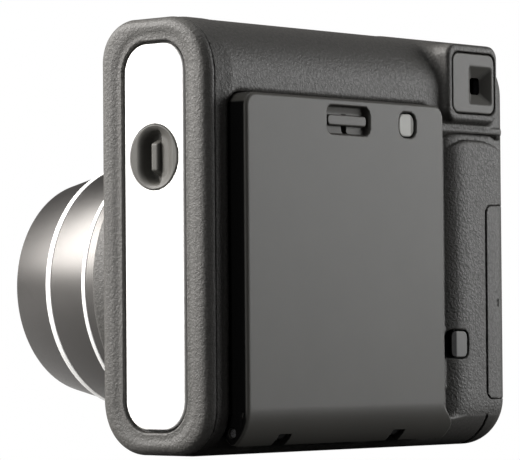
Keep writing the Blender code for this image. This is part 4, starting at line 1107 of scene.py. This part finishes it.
def make_world(fill):
    """White where the camera looks past the object, and a dim even fill on the object itself."""
    world = bpy.data.worlds.new("studio")
    bpy.context.scene.world = world
    world.use_nodes = True
    tree = world.node_tree
    tree.nodes.clear()
    out = tree.nodes.new("ShaderNodeOutputWorld")
    mix = tree.nodes.new("ShaderNodeMixShader")
    path = tree.nodes.new("ShaderNodeLightPath")
    dim = tree.nodes.new("ShaderNodeBackground")
    dim.inputs["Color"].default_value = (*fill, 1.0)
    white = tree.nodes.new("ShaderNodeBackground")
    white.inputs["Color"].default_value = (1.0, 1.0, 1.0, 1.0)
    tree.links.new(path.outputs["Is Camera Ray"], mix.inputs["Fac"])
    tree.links.new(dim.outputs[0], mix.inputs[1])
    tree.links.new(white.outputs[0], mix.inputs[2])
    tree.links.new(mix.outputs[0], out.inputs["Surface"])


def make_floor():
    """Plain pale floor: even white to the camera, with a soft grey return on the object."""
    reach = 6.0
    mesh = bpy.data.meshes.new("floor")
    corners = [(-reach, -reach, 0.0), (reach, -reach, 0.0), (reach, reach, 0.0),
               (-reach, reach, 0.0)]
    mesh.from_pydata(corners, [], [(0, 1, 2, 3)])
    floor = bpy.data.objects.new("floor", mesh)
    floor.location.z = -0.0003
    bpy.context.scene.collection.objects.link(floor)
    mat = bpy.data.materials.new("floor_pale")
    mat.use_nodes = True
    tree = mat.node_tree
    tree.nodes.clear()
    out = tree.nodes.new("ShaderNodeOutputMaterial")
    mix = tree.nodes.new("ShaderNodeMixShader")
    path = tree.nodes.new("ShaderNodeLightPath")
    diffuse = tree.nodes.new("ShaderNodeBsdfDiffuse")
    where = tree.nodes.new("ShaderNodeTexCoord")
    axes = tree.nodes.new("ShaderNodeSeparateXYZ")
    card = tree.nodes.new("ShaderNodeMapRange")
    fade = {"From Min": -0.02, "From Max": 0.03, "To Min": 0.42, "To Max": 0.05}
    for socket, value in fade.items():
        card.inputs[socket].default_value = value
    tree.links.new(where.outputs["Object"], axes.inputs[0])
    tree.links.new(axes.outputs["Y"], card.inputs["Value"])
    tree.links.new(card.outputs[0], diffuse.inputs["Color"])
    glow = tree.nodes.new("ShaderNodeEmission")
    glow.inputs["Color"].default_value = (1.0, 1.0, 1.0, 1.0)
    tree.links.new(path.outputs["Is Camera Ray"], mix.inputs["Fac"])
    tree.links.new(diffuse.outputs[0], mix.inputs[1])
    tree.links.new(glow.outputs[0], mix.inputs[2])
    tree.links.new(mix.outputs[0], out.inputs["Surface"])
    mesh.materials.append(mat)


def around(azimuth, elevation, distance):
    """Place at a bearing from the object's middle; azimuth runs from +Y towards +X, in degrees."""
    a = math.radians(azimuth)
    e = math.radians(elevation)
    out = Vector((math.sin(a) * math.cos(e), math.cos(a) * math.cos(e), math.sin(e)))
    return Vector(CENTRE) + out * distance


def make_lights():
    # tall box in front of the strap-lug end: the end rim's sheen and the light band of the barrels
    add_light("key_left", 142.0, 31.0, (0.65, 0.85), 34.0, (1.0, 0.975, 0.95))
    # narrow dim box square to the strap-lug end
    add_light("side_left", 88.0, 8.0, (0.35, 0.6), 3.5)
    # box behind the grip: the door's sheen and the thumb column
    add_light("rear_right", -52.0, 10.0, (0.80, 0.42), 11.5)
    # box overhead: the top and the roll of the rear edge
    add_light("top", 0.0, 86.0, (0.9, 0.6), 3.5)


# angles in degrees; DISTANCE, AIM and OFFSET in millimetres, OFFSET along the camera's right and up
AZIMUTH = 132.025
ELEVATION = -1.884
ROLL = -0.427
DISTANCE = 931.609
AIM = (0.0, 30.58, 60.0)
OFFSET = (-20.047, 3.27)
FOCAL_PX = 3229.4
IMAGE_WIDTH = 520.0
SENSOR = 36.0


def make_camera():
    azimuth = math.radians(AZIMUTH)
    elevation = math.radians(ELEVATION)
    roll = math.radians(ROLL)
    level_reach = math.cos(elevation)
    back = Vector((math.sin(azimuth) * level_reach, -math.cos(azimuth) * level_reach,
                   math.sin(elevation)))
    level = Vector((0.0, 0.0, 1.0)).cross(back).normalized()
    upward = back.cross(level)
    right = math.cos(roll) * level + math.sin(roll) * upward
    up = math.cos(roll) * upward - math.sin(roll) * level
    data = bpy.data.cameras.new("camera")
    data.sensor_width = SENSOR
    data.lens = FOCAL_PX * SENSOR / IMAGE_WIDTH
    data.clip_start = 0.05
    data.clip_end = 50.0
    camera = bpy.data.objects.new("camera", data)
    bpy.context.scene.collection.objects.link(camera)
    place = Vector(AIM) + OFFSET[0] * right + OFFSET[1] * up + DISTANCE * back
    turn = Matrix((right, up, back)).transposed().to_4x4()
    camera.matrix_world = Matrix.Translation(place * MM) @ turn
    bpy.context.scene.camera = camera


make_world((0.03, 0.03, 0.032))
make_floor()
make_lights()
make_camera()
bpy.context.scene.view_settings.view_transform = "Standard"

make_body()
make_door()
make_small_pieces()
make_lens()
make_button()
finish_inner_pieces()
